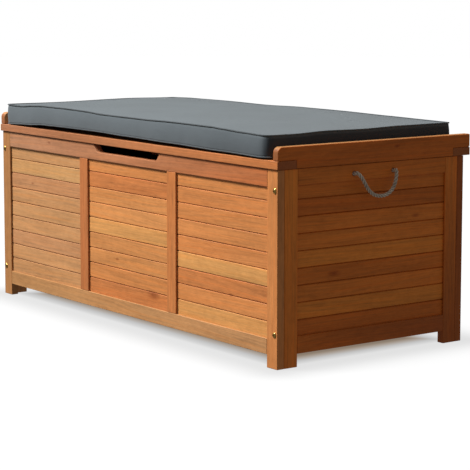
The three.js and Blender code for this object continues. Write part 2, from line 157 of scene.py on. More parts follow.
COVER_CLOTH = {
    "quality": 5, "mass": 0.3, "tension_stiffness": 30, "compression_stiffness": 18,
    "shear_stiffness": 8, "bending_stiffness": 1.2, "use_pressure": True,
}
COVER_PRESSURE = 4.0
COVER_FRAMES = 20

# The rope of the right-hand handle, from its front hole to its back hole, in mm: distance out from
# the wall, distance behind the middle of the wall, and height.
ROPE_ROUTE = [
    (0.4, -60, 433), (3, -60, 433.4), (8.2, -59.4, 434.8), (12.4, -57.6, 433),
    (15.8, -54.4, 428), (18.2, -49.8, 420.6), (19, -44.4, 411.6), (18.6, -38.4, 403.2),
    (17.6, -31.6, 395.2), (16.6, -23.4, 388.2), (15.8, -13.4, 382.4), (15.2, -2, 378.8),
    (15, 10, 377.6), (15.2, 21.6, 378.8), (15.8, 31.6, 382.6), (16.8, 40, 389.4),
    (17.8, 46, 398.2), (18.6, 49.8, 408.4), (18, 52.6, 418.4), (15.8, 55.4, 427.6),
    (12.4, 57.8, 433), (8.2, 59.4, 434.8), (3, 60, 433.4), (0.4, 60, 433),
]

# Knots and dark figure in the wood: where they are in mm, and how far they reach in metres.
KNOTS = [
    ((-50, -285, 168), 0.011), ((438, -284.5, 146), 0.012), ((-372, -290, 441), 0.01),
    ((112, -284.5, 99), 0.034), ((-470, -284.5, 322), 0.009), ((615, -120, 205), 0.024),
    ((615, 130, 320), 0.016), ((625, 60, 490), 0.012), ((-615, 40, 240), 0.014),
    ((-300, 272.5, 190), 0.012), ((250, 272.5, 310), 0.015), ((-120, 60, 474.5), 0.014),
]

# The studio. The floor's painted shadow is round the box's footprint, which is given as half its size.
FLOOR_RADIUS = 14.0
FOOTPRINT = (0.62, 0.2895, 0)
SHADOW_REACH = 0.085
SHADOW_DEPTH = 0.25
CONTACT_WIDTH = 0.018
DARKENING_UNDER = 6
DARKEST = 0.25
SKY = 0.19


# ---- shader helpers

def linear(red, green, blue):
    """A colour given as 0 to 255 display values, as linear light."""
    def one(value):
        value /= 255
        return value / 12.92 if value <= 0.04045 else ((value + 0.055) / 1.055) ** 2.4
    return (one(red), one(green), one(blue), 1.0)


class Finish:
    """A material with one Principled shader, and short ways to add nodes to it."""

    def __init__(self, name, **inputs):
        self.material = bpy.data.materials.new(name)
        self.material.use_nodes = True
        self.tree = self.material.node_tree
        self.shader = self.tree.nodes["Principled BSDF"]
        for socket, value in inputs.items():
            self.shader.inputs[socket.replace("_", " ")].default_value = value

    def add(self, kind, inputs=(), **settings):
        node = self.tree.nodes.new("ShaderNode" + kind)
        for key, value in settings.items():
            setattr(node, key, value)
        for socket, value in dict(inputs).items():
            self.fill(node.inputs[socket], value)
        return node

    def fill(self, socket, value):
        if isinstance(value, bpy.types.NodeSocket):
            self.tree.links.new(value, socket)
        else:
            wide = hasattr(value, "__len__")
            socket.default_value = value[: len(socket.default_value)] if wide else value

    def set(self, socket, value):
        self.fill(self.shader.inputs[socket], value)

    def attribute(self, name, output="Vector"):
        return self.add("Attribute", attribute_name=name).outputs[output]

    def place(self):
        return self.add("TexCoord").outputs["Object"]

    def axes(self, vector):
        return self.add("SeparateXYZ", {0: vector}).outputs

    def math(self, operation, first, second=0.0, clamp=False):
        return self.add(
            "Math", {0: first, 1: second}, operation=operation, use_clamp=clamp
        ).outputs[0]

    def sum(self, total, *terms):
        for term in terms:
            total = self.math("ADD", total, term)
        return total

    def times(self, first, second):
        return self.math("MULTIPLY", first, second)

    def vector(self, operation, first, second=(0, 0, 0)):
        return self.add("VectorMath", {0: first, 1: second}, operation=operation).outputs[0]

    def measure(self, operation, first, second=(0, 0, 0)):
        """A number worked out from vectors."""
        return self.add("VectorMath", {0: first, 1: second}, operation=operation).outputs["Value"]

    def noise(self, place, stretch, detail=3.0, roughness=0.5):
        """Noise whose features are 1 / stretch metres long along each axis, from 0 to 1."""
        scaled = self.vector("MULTIPLY", place, stretch)
        return self.add(
            "TexNoise", {"Vector": scaled, "Scale": 1.0, "Detail": detail, "Roughness": roughness}
        ).outputs[0]

    def range(self, value, low, high, to_low=0.0, to_high=1.0):
        return self.add(
            "MapRange",
            {"Value": value, "From Min": low, "From Max": high, "To Min": to_low, "To Max": to_high},
        ).outputs[0]

    def mix(self, factor, first, second, blend="MIX"):
        node = self.add("Mix", data_type="RGBA", blend_type=blend)
        self.fill(node.inputs[0], factor)
        self.fill(node.inputs[6], first)
        self.fill(node.inputs[7], second)
        return node.outputs[2]

    def tint(self, factor, colour, tint):
        """The colour, multiplied by a tint as far as factor says."""
        return self.mix(factor, colour, self.mix(1.0, colour, (*tint, 1), "MULTIPLY"))

    def brighten(self, colour, value):
        """The colour times a value."""
        return self.add("VectorMath", {0: colour, "Scale": value}, operation="SCALE").outputs[0]

    def bump(self, height, strength, distance):
        node = self.add("Bump", {"Height": height, "Strength": strength, "Distance": distance})
        self.set("Normal", node.outputs[0])


# ---- materials

WOODS = {
    "tan": linear(192, 141, 94), "rose": linear(187, 134, 92), "straw": linear(195, 149, 98),
    "red": linear(197, 123, 70), "orange": linear(203, 132, 76), "amber": linear(206, 139, 82),
    "honey": linear(210, 150, 88), "umber": linear(181, 132, 84), "russet": linear(185, 113, 66),
    "clay": linear(160, 110, 79), "bark": linear(172, 122, 76), "dun": linear(177, 128, 95),
    "chestnut": linear(174, 104, 61), "walnut": linear(166, 86, 36), "pale": linear(206, 160, 110),
    "deep_orange": linear(220, 124, 48), "deep_red": linear(211, 116, 43),
    "dark_red": linear(198, 106, 38), "deep_amber": linear(224, 132, 52),
}

# A board's colour is one name, or two for its low and its high end. Slats run from the bottom up.
# The right-hand wall's darker, redder colours are painted shade: they stand in for the shade that falls
# on that side.
FRONT_SLATS = {
    "left": "tan,tan,rose,tan,tan,tan,rose,straw,tan",
    "middle": "red,orange,amber,amber,honey,amber,amber,red,orange",
    "right": "honey,orange,red,honey,orange,orange,orange,orange,orange",
}
BACK_SLATS = {
    "left": "orange,tan,red,amber,honey,orange,rose,orange,tan",
    "middle": "tan,amber,orange,red,orange,honey,amber,tan,red",
    "right": "red,orange,honey,amber,tan,orange,red,orange,amber",
}
SIDE_SLATS = {
    "left": "orange,tan,amber,rose,orange,tan,red,amber,tan",
    "right": "dark_red,deep_amber,deep_orange,deep_red,deep_amber,deep_orange,deep_orange,"
             "dark_red,deep_red",
}
SIDE_FRAMES = {
    "left": {"stile_front": "tan", "stile_back": "orange", "top_rail": "rose", "bottom_rail": "clay"},
    # Painted shade: the right-hand frame's deep colours darken towards the back and the bottom.
    "right": {
        "stile_front": "deep_orange deep_amber", "stile_back": "walnut deep_orange",
        "top_rail": "deep_red", "bottom_rail": "dark_red walnut",
    },
}
STILES = {
    "front": {"left": "bark", "right": "orange"},
    "back": {"left": "deep_amber", "right": "walnut"},
# The back right stile's walnut is painted shade, darkest at the back of the shaded right-hand side.
}
MULLIONS = {"left": "russet", "right": "red"}
# The right-hand lid side board's dark red and its duller bark edges are painted shade: its shaded outer
# face, and its top and nose, get colours of their own.
LID_SIDES = {"left": "tan", "right": "dark_red"}
LID_SIDE_EDGES = {"left": "rose", "right": "bark"}


def wood_finish(name, roughness, contrast):
    """Oiled hardwood. The grain runs along the x of the attribute "grain", in metres; the growth rings
    are round the line y = z = 0. "board" is the board's own colour, "edge" is 1 on softened edges, and
    the end-grain attribute is 1 on faces across the grain; on slanted faces it carries painted shade,
    which darkens the chamfers of the grooves between boards."""
    wood = Finish(name, Specular_IOR_Level=0.2)
    grain = wood.attribute("grain")
    sway = wood.noise(grain, (2.2, 14, 14), detail=2)
    swing = wood.math("SUBTRACT", sway, 0.5)
    bend = wood.times(swing, 0.012)
    moved = wood.vector("ADD", grain, wood.add("CombineXYZ", {1: bend, 2: bend}).outputs[0])
    axes = wood.axes(moved)
    square = [wood.math("POWER", wood.math("ABSOLUTE", axes[axis]), 2) for axis in (1, 2)]
    radius = wood.math("SQRT", wood.sum(*square))
    wander = wood.noise(moved, (4, 60, 60), detail=2)
    phase = wood.sum(wood.times(radius, 1500), wood.times(wander, 6))
    rings = wood.math("POWER", wood.range(wood.math("SINE", phase), -1, 1), 1.8)
    streaks = wood.noise(moved, (2.4, 130, 130), detail=4, roughness=0.62)
    threads = wood.noise(moved, (5, 420, 420), detail=3, roughness=0.6)
    fibres = wood.noise(moved, (26, 1200, 1200), detail=2, roughness=0.6)
    pores = wood.range(wood.noise(moved, (60, 1500, 1500), detail=1), 0.6, 0.72)
    clouds = wood.noise(grain, (3.1, 16, 16), detail=2)
    figure = wood.range(wood.noise(moved, (6, 75, 75), detail=3, roughness=0.65), 0.56, 0.74)
    ripples = wood.noise(moved, (45, 90, 90), detail=2)

    shade = wood.sum(
        wood.times(wood.range(streaks, 0.3, 0.7, -1, 1), 0.11 * contrast),
        wood.times(rings, -0.08 * contrast),
        wood.range(threads, 0.3, 0.7, -0.13 * contrast, 0.11 * contrast),
        wood.range(fibres, 0.25, 0.75, -0.08, 0.08),
        wood.range(clouds, 0.3, 0.7, -0.1, 0.1),
        wood.range(ripples, 0.3, 0.7, -0.06, 0.06),
        wood.times(figure, -0.17 * contrast),
        1.08,
    )
    colour = wood.brighten(wood.attribute("board", "Color"), shade)
    colour = wood.tint(wood.range(streaks, 0.46, 0.72), colour, (1.0, 0.88, 0.74))
    colour = wood.tint(wood.times(pores, 0.5), colour, (0.66, 0.52, 0.42))
    drift = wood.add("CombineXYZ", {0: swing}).outputs[0]
    for place, size in KNOTS:
        spot = wood.vector("SUBTRACT", wood.place(), tuple(Vector(place) * MM))
        spot = wood.vector("MULTIPLY", spot, (1 / size, 1 / size, 2.4 / size))
        near = wood.measure("LENGTH", wood.vector("ADD", spot, drift))
        colour = wood.tint(wood.times(wood.range(near, 1.0, 0.15), 0.75), colour, (0.52, 0.36, 0.3))
    # End grain darkens towards a soaked colour; on the slanted groove faces the same mix is painted
    # shade.
    soaked_and_shaded = wood.mix(0.4, wood.brighten(colour, 0.66), linear(150, 62, 28))
    colour = wood.mix(wood.times(wood.attribute("end_grain", "Fac"), 0.9), colour, soaked_and_shaded)
    worn = wood.times(wood.attribute("edge", "Fac"), wood.range(clouds, 0.35, 0.7, 0.1, 0.5))
    wood.set("Base Color", wood.mix(worn, colour, wood.brighten(colour, 1.16)))
    dull = wood.sum(wood.range(streaks, 0.3, 0.7, -0.07, 0.09), wood.times(pores, 0.2))
    wood.set("Roughness", wood.math("ADD", dull, roughness, clamp=True))
    height = wood.sum(wood.times(fibres, 0.5), wood.times(threads, 0.6))
    wood.bump(wood.math("SUBTRACT", height, wood.times(pores, 0.9)), 0.35, 0.3 * MM)
    return wood.material


def fabric_finish(name, colour):
    """Dark grey woven outdoor cloth with threads 1.5 mm apart. They are waves along the object's own
    axes, and each axis counts only as far as the face lies along it."""
    cloth = Finish(name, Sheen_Weight=0.3, Sheen_Roughness=0.45, Specular_IOR_Level=0.22)
    place = cloth.place()
    swirl = cloth.noise(place, (70, 70, 70), detail=2)
    turns = cloth.vector("MULTIPLY", place, (4200, 4200, 4200))
    turns = cloth.vector("ADD", turns, cloth.vector("MULTIPLY", swirl, (3, 3, 3)))
    facing = cloth.add("TexCoord").outputs["Normal"]
    lying = cloth.vector("SUBTRACT", (1, 1, 1), cloth.vector("MULTIPLY", facing, facing))
    threads = cloth.measure("DOT_PRODUCT", cloth.vector("SINE", turns), lying)
    slubs = cloth.noise(place, (45, 900, 900), detail=2)
    clouds = cloth.noise(place, (6, 6, 9), detail=3)
    shade = cloth.sum(
        cloth.times(threads, 0.035),
        cloth.range(slubs, 0.3, 0.7, -0.06, 0.06),
        cloth.range(clouds, 0.3, 0.7, -0.05, 0.07),
        1.0,
    )
    # Painted shade: the cloth darkens towards a bluish dark, most on the right and back of the boxing.
    shaded_colour = cloth.mix(cloth.attribute("soiling", "Fac"), linear(*colour), linear(*PAINTED_SHADE_CLOTH))
    cloth.set("Base Color", cloth.brighten(shaded_colour, shade))
    cloth.set("Roughness", cloth.range(slubs, 0.3, 0.7, 0.72, 0.9))
    cloth.bump(cloth.sum(cloth.times(threads, 0.3), slubs), 0.3, 0.25 * MM)
    return cloth.material


def rope_finish():
    """Grey fibre rope. "yarn" holds the distance along the strand and round it in metres, and how far out
    from the core the place is: the grooves between strands are darker, which is painted shade."""
    rope = Finish("rope_fibre", Roughness=0.86, Sheen_Weight=0.2, Specular_IOR_Level=0.2)
    yarn = rope.attribute("yarn")
    axes = rope.axes(yarn)
    twist = rope.math("SINE", rope.sum(rope.times(axes[0], 1500), rope.times(axes[1], 3100)))
    fuzz = rope.noise(yarn, (350, 2500, 1), detail=3, roughness=0.7)
    patches = rope.noise(rope.place(), (55, 55, 55), detail=2)
    shade = rope.sum(rope.times(twist, 0.14), rope.range(fuzz, 0.25, 0.75, 0.66, 1.3))
    # Painted shade in the grooves between strands, darkest nearest the core.
    shade = rope.times(shade, rope.range(axes[2], 0.5, 0.95, 0.2, 1.0))
    colour = rope.mix(rope.range(patches, 0.3, 0.7), linear(222, 208, 190), linear(182, 168, 152))
    rope.set("Base Color", rope.brighten(colour, shade))
    rope.bump(rope.sum(rope.times(twist, 0.5), fuzz), 0.6, 0.35 * MM)
    return rope.material


def metal_finish(name, colour, roughness, stain, grain=(240, 240, 240), metallic=1.0):
    """Metal with soft stains, fine scratches and a roughness that varies with both."""
    metal = Finish(name, Metallic=metallic)
    place = metal.place()
    stains = metal.noise(place, (90, 90, 90), detail=3)
    scratches = metal.noise(place, grain, detail=3, roughness=0.7)
    fine = metal.noise(place, (1800, 1800, 1800), detail=2)
    shade = metal.sum(metal.range(scratches, 0.3, 0.7, -0.08, 0.08), 1.0)
    tinted = metal.mix(metal.range(stains, 0.42, 0.72, 0, 0.8), linear(*colour), linear(*stain))
    metal.set("Base Color", metal.brighten(tinted, shade))
    rough = metal.range(stains, 0.3, 0.7, roughness - 0.06, roughness + 0.14)
    metal.set("Roughness", metal.sum(rough, metal.range(scratches, 0.3, 0.7, -0.04, 0.06)))
    metal.bump(metal.sum(scratches, fine), 0.18, 0.08 * MM)
    return metal.material


oiled_wood = wood_finish("oiled_wood", 0.46, 1.0)
inner_wood = wood_finish("inner_wood", 0.62, 0.9)
cushion_cloth = fabric_finish("cushion_cloth", (96, 104, 108))
piping_cloth = fabric_finish("piping_cloth", (74, 80, 83))
rope_fibre = rope_finish()
brass = metal_finish("brass", (206, 170, 96), 0.26, (168, 124, 66))
zinc_steel = metal_finish("zinc_steel", (186, 188, 190), 0.34, (150, 150, 148))
polished_rod = metal_finish("polished_rod", (214, 216, 220), 0.12, (200, 202, 206), (20, 20, 900))
black_steel = metal_finish(
    "black_steel", (30, 31, 33), 0.38, (40, 40, 42), (700, 700, 700), metallic=0.0
)


# ---- mesh helpers

def box_of(node):
    """A CAD node's box: its low corner, its high corner, its centre and half its size."""
    low, high = (Vector(corner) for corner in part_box(node))
    return low, high, (low + high) / 2, (high - low) / 2


def new_object(name, data):
    made = bpy.data.objects.new(name, data)
    bpy.context.scene.collection.objects.link(made)
    return made


def keep(name, mesh, body, material, stands_for=()):
    """Makes the mesh a piece that rides on a body."""
    piece = new_object(name, mesh)
    mesh.materials.append(material)
    if body:
        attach(piece, body)
    if stands_for:
        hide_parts(*stands_for)
    return piece


def mesh_of(bm, name, crease):
    """A smooth-shaded mesh with sharp edges over the crease angle. Empties the bmesh."""
    bmesh.ops.recalc_face_normals(bm, faces=bm.faces)
    mesh = bpy.data.meshes.new(name)
    bm.to_mesh(mesh)
    bm.free()
    mesh.shade_smooth()
    mesh.set_sharp_from_angle(angle=math.radians(crease))
    return mesh


def keep_solid(name, bm, body, material, stands_for=(), crease=32):
    """Makes the bmesh a piece that rides on a body, sharp over the crease angle in degrees."""
    return keep(name, mesh_of(bm, name, crease), body, material, stands_for)


def soften(bm, width, steps=2):
    """Rounds the edges that turn more than 25 degrees."""
    bm.normal_update()
    sharp = math.radians(25)
    edges = [e for e in bm.edges if e.is_manifold and e.calc_face_angle() > sharp]
    made = bmesh.ops.bevel(
        bm, geom=edges, offset=width, offset_type="OFFSET", segments=steps, profile=0.5,
        affect="EDGES", clamp_overlap=False,
    )
    layer = bm.verts.layers.float.new("edge")
    round_faces = set(made["faces"])
    for vert in made["verts"]:
        if vert.is_valid and all(face in round_faces for face in vert.link_faces):
            vert[layer] = 1.0


def skin(bm, rings, closed=False):
    """Joins rings of vertices in order. A ring of one vertex is a pole."""
    pairs = list(zip(rings, rings[1:]))
    if closed:
        pairs.append((rings[-1], rings[0]))
    for low, high in pairs:
        sides = max(len(low), len(high))
        for i in range(sides):
            j = (i + 1) % sides
            corners = [low[i % len(low)], low[j % len(low)], high[j % len(high)], high[i % len(high)]]
            face = list(dict.fromkeys(corners))
            if len(face) > 2:
                bm.faces.new(face)


def add_ring(bm, centre, first, second, radius, sides):
    """Adds vertices round a circle, from the direction first towards second."""
    ring = []
    for i in range(sides):
        turn = 2 * math.pi * i / sides
        way = first * math.cos(turn) + second * math.sin(turn)
        ring.append(bm.verts.new(centre + way * radius))
    return ring


def extrude_outline(outline, start, end, along, across, out):
    """A closed prism. outline is in (across, out) coordinates, and runs from start to end along."""
    bm = bmesh.new()
    rings = [
        [bm.verts.new(along * distance + across * u + out * v) for u, v in outline]
        for distance in (start, end)
    ]
    bm.faces.new(rings[0])
    bm.faces.new(rings[1])
    skin(bm, rings)
    bmesh.ops.recalc_face_normals(bm, faces=bm.faces)
    return bm


def axis_frame(axis):
    """A unit vector along the axis, and two across it."""
    axis = Vector(axis).normalized()
    first = axis.orthogonal().normalized()
    return axis, first, axis.cross(first)


def revolve(bm, profile, start, axis, sides=24, closed=False):
    """Adds rings round an axis, joined in order. profile is (distance along the axis, radius) in mm,
    and a radius of 0 is a pole. Returns the rings."""
    axis, first, second = axis_frame(axis)
    rings = []
    for distance, radius in profile:
        centre = Vector(start) + axis * (distance * MM)
        rings.append(add_ring(bm, centre, first, second, radius * MM, sides if radius else 1))
    skin(bm, rings, closed)
    return rings


def cut_recess(bm, rim, axis, outline, depth):
    """Closes a ring with a flat face that has a recess in its middle, for a driver. The recess's
    outline and depth are in mm."""
    axis, first, second = axis_frame(axis)
    centre = sum((vert.co for vert in rim), Vector()) / len(rim)
    mouth = [bm.verts.new(centre + first * (u * MM) + second * (v * MM)) for u, v in outline]
    bottom = [bm.verts.new(vert.co - axis * (depth * MM)) for vert in mouth]
    verts = [*rim, *mouth]
    for triangle in tessellate_polygon([[vert.co for vert in rim], [vert.co for vert in mouth]]):
        bm.faces.new([verts[i] for i in triangle])
    skin(bm, [mouth, bottom])
    bm.faces.new(bottom)


def cross_outline(reach, half):
    corner = [(reach, half), (half, half), (half, reach)]
    outline = []
    for quarter in range(4):
        turn = quarter * math.pi / 2
        cos, sin = round(math.cos(turn)), round(math.sin(turn))
        outline += [(u * cos - v * sin, u * sin + v * cos) for u, v in corner]
    return outline


def add_screw(bm, place, axis, radius):
    """A countersunk cross-head screw with its head level with the surface at place. Its radius is
    in mm."""
    profile = [(-1.6, 0), (-1.6, radius * 0.5), (0, radius), (0.3, radius * 0.94), (0.42, radius * 0.8)]
    rings = revolve(bm, profile, place, axis, sides=20)
    cut_recess(bm, rings[-1], axis, cross_outline(radius * 0.55, radius * 0.14), 0.9)


def add_collar(bm, centre, start, end, bore, radius, ease, sides):
    """Adds a ring about X with eased rims, from start to end of its centre. Sizes are in mm."""
    profile = [(start, bore), (start, radius - ease), (start + ease, radius)]
    profile += [(end - ease, radius), (end, radius - ease), (end, bore)]
    revolve(bm, profile, centre, X, sides, closed=True)


def rounded_plate(bm, centre, half, thin, corner, ease=0.35 * MM):
    """Adds a plate with rounded corners. half is its half size on each axis, and thin the number of
    the axis across it."""
    wide = [axis for axis in range(3) if axis != thin]
    outline = []
    for quarter, (sign_u, sign_v) in enumerate(((1, 1), (-1, 1), (-1, -1), (1, -1))):
        for step in range(5):
            turn = (quarter + step / 4) * math.pi / 2
            u = sign_u * (half[wide[0]] - corner) + corner * math.cos(turn)
            v = sign_v * (half[wide[1]] - corner) + corner * math.sin(turn)
            outline.append((u, v))
    rings = []
    rim = 1 - ease / half[thin]
    for level, inset in ((-1, ease), (-rim, 0), (rim, 0), (1, ease)):
        ring = []
        for u, v in outline:
            point = Vector(centre)
            point[wide[0]] += u * (1 - inset / half[wide[0]])
            point[wide[1]] += v * (1 - inset / half[wide[1]])
            point[thin] += level * half[thin]
            ring.append(bm.verts.new(point))
        rings.append(ring)
    skin(bm, rings)
    bm.faces.new(rings[0])
    bm.faces.new(rings[-1])


# ---- timber

def give_grain(mesh, along, wide, colour, seed, groove_shade):
    """Writes the attributes that the wood finish reads. The board is cut from a place in its log that the
    seed decides. The groove shade, from 0 to 1, darkens slanted faces: painted shade for the chamfers of
    the grooves between boards."""
    draw = random.Random(seed)
    along_i = max(range(3), key=lambda i: abs(along[i]))
    wide_i = max(range(3), key=lambda i: abs(wide[i]))
    thin_i = 3 - along_i - wide_i
    places = np.empty(len(mesh.vertices) * 3, np.float32)
    mesh.vertices.foreach_get("co", places)
    places = places.reshape(-1, 3)
    middle = (places.min(axis=0) + places.max(axis=0)) / 2
    local = (places - middle)[:, [along_i, wide_i, thin_i]]
    heart = draw.uniform(*LOG_HEART_DISTANCE) * MM * draw.choice((-1, 1))
    lean = draw.uniform(-0.03, 0.03)
    local[:, 1] += draw.uniform(-35, 35) * MM + local[:, 0] * lean
    local[:, 2] += heart + local[:, 0] * draw.uniform(-0.02, 0.02)
    local[:, 0] += draw.uniform(-40, 40)
    mesh.attributes.new("grain", "FLOAT_VECTOR", "POINT").data.foreach_set("vector", local.ravel())
    value = draw.uniform(0.97, 1.03)
    warmth = draw.uniform(0.98, 1.02)
    batch = (value, value * warmth, value * warmth, 1)
    ends = colour.split()
    low, high = np.array(WOODS[ends[0]]) * batch, np.array(WOODS[ends[-1]]) * batch
    run = (places[:, along_i] - places[:, along_i].min()) / max(np.ptp(places[:, along_i]), 1e-6)
    tint = (low + (high - low) * run[:, None]).astype(np.float32)
    mesh.attributes.new("board", "FLOAT_COLOR", "POINT").data.foreach_set("color", tint.ravel())

    # End grain is darker; slanted faces get painted shade, the shade of the grooves between boards.
    def darkness(normal):
        if abs(normal[along_i]) > 0.8:
            return 1.0
        return groove_shade if 0.25 < abs(normal[thin_i]) < 0.97 else 0.0

    dark = [darkness(face.normal) for face in mesh.polygons]
    mesh.attributes.new("end_grain", "FLOAT", "FACE").data.foreach_set("value", dark)


def timber(name, bm, body, along, wide, colour, material, stands_for=(), painted_groove_shade=0.0):
    """A wooden piece from a bmesh whose edges are already softened. Its large flat faces keep their
    own normals, so that only the softened edges look round."""
    piece = keep_solid(name, bm, body, material, stands_for, crease=60)
    give_grain(piece.data, along, wide, colour, name, painted_groove_shade)
    piece.modifiers.new("even_normals", "WEIGHTED_NORMAL").keep_sharp = True
    return piece


def timber_from_node(node, body, along, wide, colour, material=oiled_wood, width=WOOD_EDGE):
    """A wooden piece in the shape of a CAD node, with softened edges, that stands for the node."""
    bm = bmesh.new()
    bm.from_mesh(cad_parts[node].data)
    bmesh.ops.remove_doubles(bm, verts=bm.verts, dist=1e-6)
    bmesh.ops.dissolve_limit(bm, angle_limit=math.radians(1), verts=bm.verts, edges=bm.edges)
    soften(bm, width)
    return timber(f"{node}_timber", bm, body, along, wide, colour, material, [node])


def tint_edges(piece, axis, colour):
    """Gives the faces that don't point along an axis a board colour of their own."""
    tints = piece.data.attributes["board"].data
    for vert in piece.data.vertices:
        if abs(vert.normal[axis]) < 0.6:
            tints[vert.index].color = WOODS[colour]


def slat_outline(low, high, thickness, tongue, groove):
    """A tongued slat seen from its end, in (across, out) coordinates with its face at out = 0:
    chamfers on both faces, a tongue on the high edge and a groove in the low one."""
    vee_wide, vee_deep, ease = 1.7 * MM, 2.3 * MM, 0.8 * MM
    slack = 0.12 * MM
    middle = -thickness / 2
    half_tongue, half_groove = 1.7 * MM, 1.95 * MM
    low, high = low + slack, high - slack
    outline = [(low, -vee_deep), (low + vee_wide, 0)] if groove else [(low, 0)]
    if tongue:
        tip = high + SLAT_TONGUE
        outline += [
            (high - vee_wide, 0), (high, -vee_deep), (high, middle + half_tongue),
            (tip, middle + half_tongue), (tip, middle - half_tongue),
            (high, middle - half_tongue), (high, ease - thickness), (high - ease, -thickness),
        ]
    else:
        outline += [(high, 0), (high, -thickness)]
    if groove:
        deep = low + SLAT_TONGUE + 0.5 * MM
        outline += [
            (low + ease, -thickness), (low, ease - thickness), (low, middle - half_groove),
            (deep, middle - half_groove), (deep, middle + half_groove), (low, middle + half_groove),
        ]
    else:
        outline += [(low, -thickness)]
    return outline


def slatted_panel(node, joints, along, across, out, colours, material=oiled_wood, body="root"):
    """Separate tongued boards in the place of one CAD panel. joints are the places of the joints
    across the boards; colours are the boards' colours in the same order."""
    low, high = (np.array(corner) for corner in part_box(node))
    span, edges, faces = (
        sorted((low @ np.array(way), high @ np.array(way))) for way in (along, across, out)
    )
    levels = [edges[0], *joints, edges[1]]
    colours = colours.split(",")
    for i, (low, high) in enumerate(zip(levels, levels[1:])):
        name = f"{node}_board_{i + 1}"
        draw = random.Random(name + " place")
        outline = slat_outline(low, high, faces[1] - faces[0], i < len(levels) - 2, i > 0)
        bm = extrude_outline(outline, span[0], span[1], along, across, out)
        soften(bm, 0.35 * MM, steps=1)
        sunk = faces[1] - draw.uniform(0, 0.25) * MM
        bmesh.ops.translate(bm, verts=bm.verts, vec=out * sunk)
        stands_for = [node] if i == 0 else ()
        colour = colours[i % len(colours)]
        # Painted shade on the slanted faces of the grooves between boards.
        timber(name, bm, body, along, across, colour, material, stands_for, painted_groove_shade=0.35)


def wall(which, out, bays):
    """The long walls: stiles, rails and mullions from the CAD nodes, slats as separate boards."""
    joints = [FRONT_LOWEST_JOINT + i * SLAT_PITCH for i in range(SLATS - 1)]
    for side, colour in STILES[which].items():
        timber_from_node(f"{which}_stile_{side}", "root", Z, X, colour)
    for side, colour in MULLIONS.items():
        timber_from_node(f"{which}_mullion_{side}", "root", Z, X, colour)
    # The top rails' darker dun and chestnut are painted shade: the shadow of the lid's overhang.
    timber_from_node(f"{which}_top_rail", "root", X, Z, "dun chestnut")
    timber_from_node(f"{which}_bottom_rail", "root", X, Z, "umber tan")
    for bay, colours in bays.items():
        slatted_panel(f"{which}_slats_{bay}", joints, X, Z, out, colours)


def side_wall(side):
    joints = [SIDE_LOWEST_JOINT + i * SLAT_PITCH for i in range(SLATS - 1)]
    for piece, colour in SIDE_FRAMES[side].items():
        along, wide = (Z, Y) if "stile" in piece else (Y, Z)
        timber_from_node(f"side_{side}_{piece}", "root", along, wide, colour)
    slatted_panel(f"side_{side}_slats", joints, Y, Z, X * SIDES[side], SIDE_SLATS[side])


def along_boards(low, high, boards, share):
    """The place in each of several equal boards that is at a share of its width."""
    pitch = (high - low) / boards
    return [low + pitch * (i + share) for i in range(boards)]


def floor_and_lid():
    for end in ("front", "back"):
        timber_from_node(f"floor_cleat_{end}", "root", X, Z, "pale", inner_wood)
    low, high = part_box("floor_boards")
    joints = along_boards(low[0], high[0], FLOOR_BOARDS, 1)[:-1]
    slatted_panel("floor_boards", joints, Y, X, Z, "pale,tan,straw,amber,tan", inner_wood)

    timber_from_node("lid_front_rail", "lid", X, Y, "clay red")
    timber_from_node("lid_back_rail", "lid", X, Y, "orange red")
    for side in SIDES:
        board = timber_from_node(
            f"lid_side_board_{side}", "lid", Y, Z, LID_SIDES[side], width=LID_SIDE_EDGE
        )
        # On the right-hand board this gives the top and nose their own painted-shade colour, apart from
        # the shaded outer face.
        tint_edges(board, 0, LID_SIDE_EDGES[side])
    for place in ("left", "middle", "right"):
        timber_from_node(f"lid_batten_{place}", "lid", Y, X, "tan")
    low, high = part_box("lid_boards")
    joints = along_boards(low[1], high[1], LID_BOARDS, 1)[:-1]
    slatted_panel("lid_boards", joints, X, Y, Z, "orange,tan,red,amber,orange,rose", body="lid")


# ---- camera

def add_camera():
    data = bpy.data.cameras.new("camera")
    data.sensor_width = 36
    data.lens = LENS
    data.shift_y = LENS_SHIFT
    data.clip_end = 60
    camera = new_object("camera", data)
    aim = Matrix.Rotation(math.radians(CAMERA_TURN), 4, "Z")
    aim = aim @ Matrix.Rotation(math.pi / 2 - math.radians(CAMERA_DOWN), 4, "X")
    aim = aim @ Matrix.Rotation(math.radians(CAMERA_ROLL), 4, "Z")
    camera.matrix_world = Matrix.Translation(CAMERA_PLACE) @ aim
    bpy.context.scene.camera = camera


# ---- ropes

def smooth_route(points, step):
    """Points about a step apart on a smooth curve through the given points."""
    points = [Vector(p) for p in points]
    padded = [points[0] * 2 - points[1], *points, points[-1] * 2 - points[-2]]
    route = []
    for a, b, c, d in zip(padded, padded[1:], padded[2:], padded[3:]):
        count = max(1, round((c - b).length / step))
        for i in range(count):
            t = i / count
            route.append(
                0.5 * (2 * b + (c - a) * t + (2 * a - 5 * b + 4 * c - d) * t * t
                       + (3 * b - a - 3 * c + d) * t * t * t)
            )
    route.append(points[-1])
    return route


def frames_along(route):
    """A frame for each point that turns as little as possible: (direction, first, second)."""
    last = len(route) - 1
    ways = [(route[min(i + 1, last)] - route[max(i - 1, 0)]).normalized() for i in range(last + 1)]
    first = ways[0].orthogonal().normalized()
    frames = []
    for way in ways:
        first = (first - way * first.dot(way)).normalized()
        frames.append((way, first, way.cross(first)))
    return frames


def distances_along(route):
    distances = [0.0]
    for a, b in zip(route, route[1:]):
        distances.append(distances[-1] + (b - a).length)
    return distances


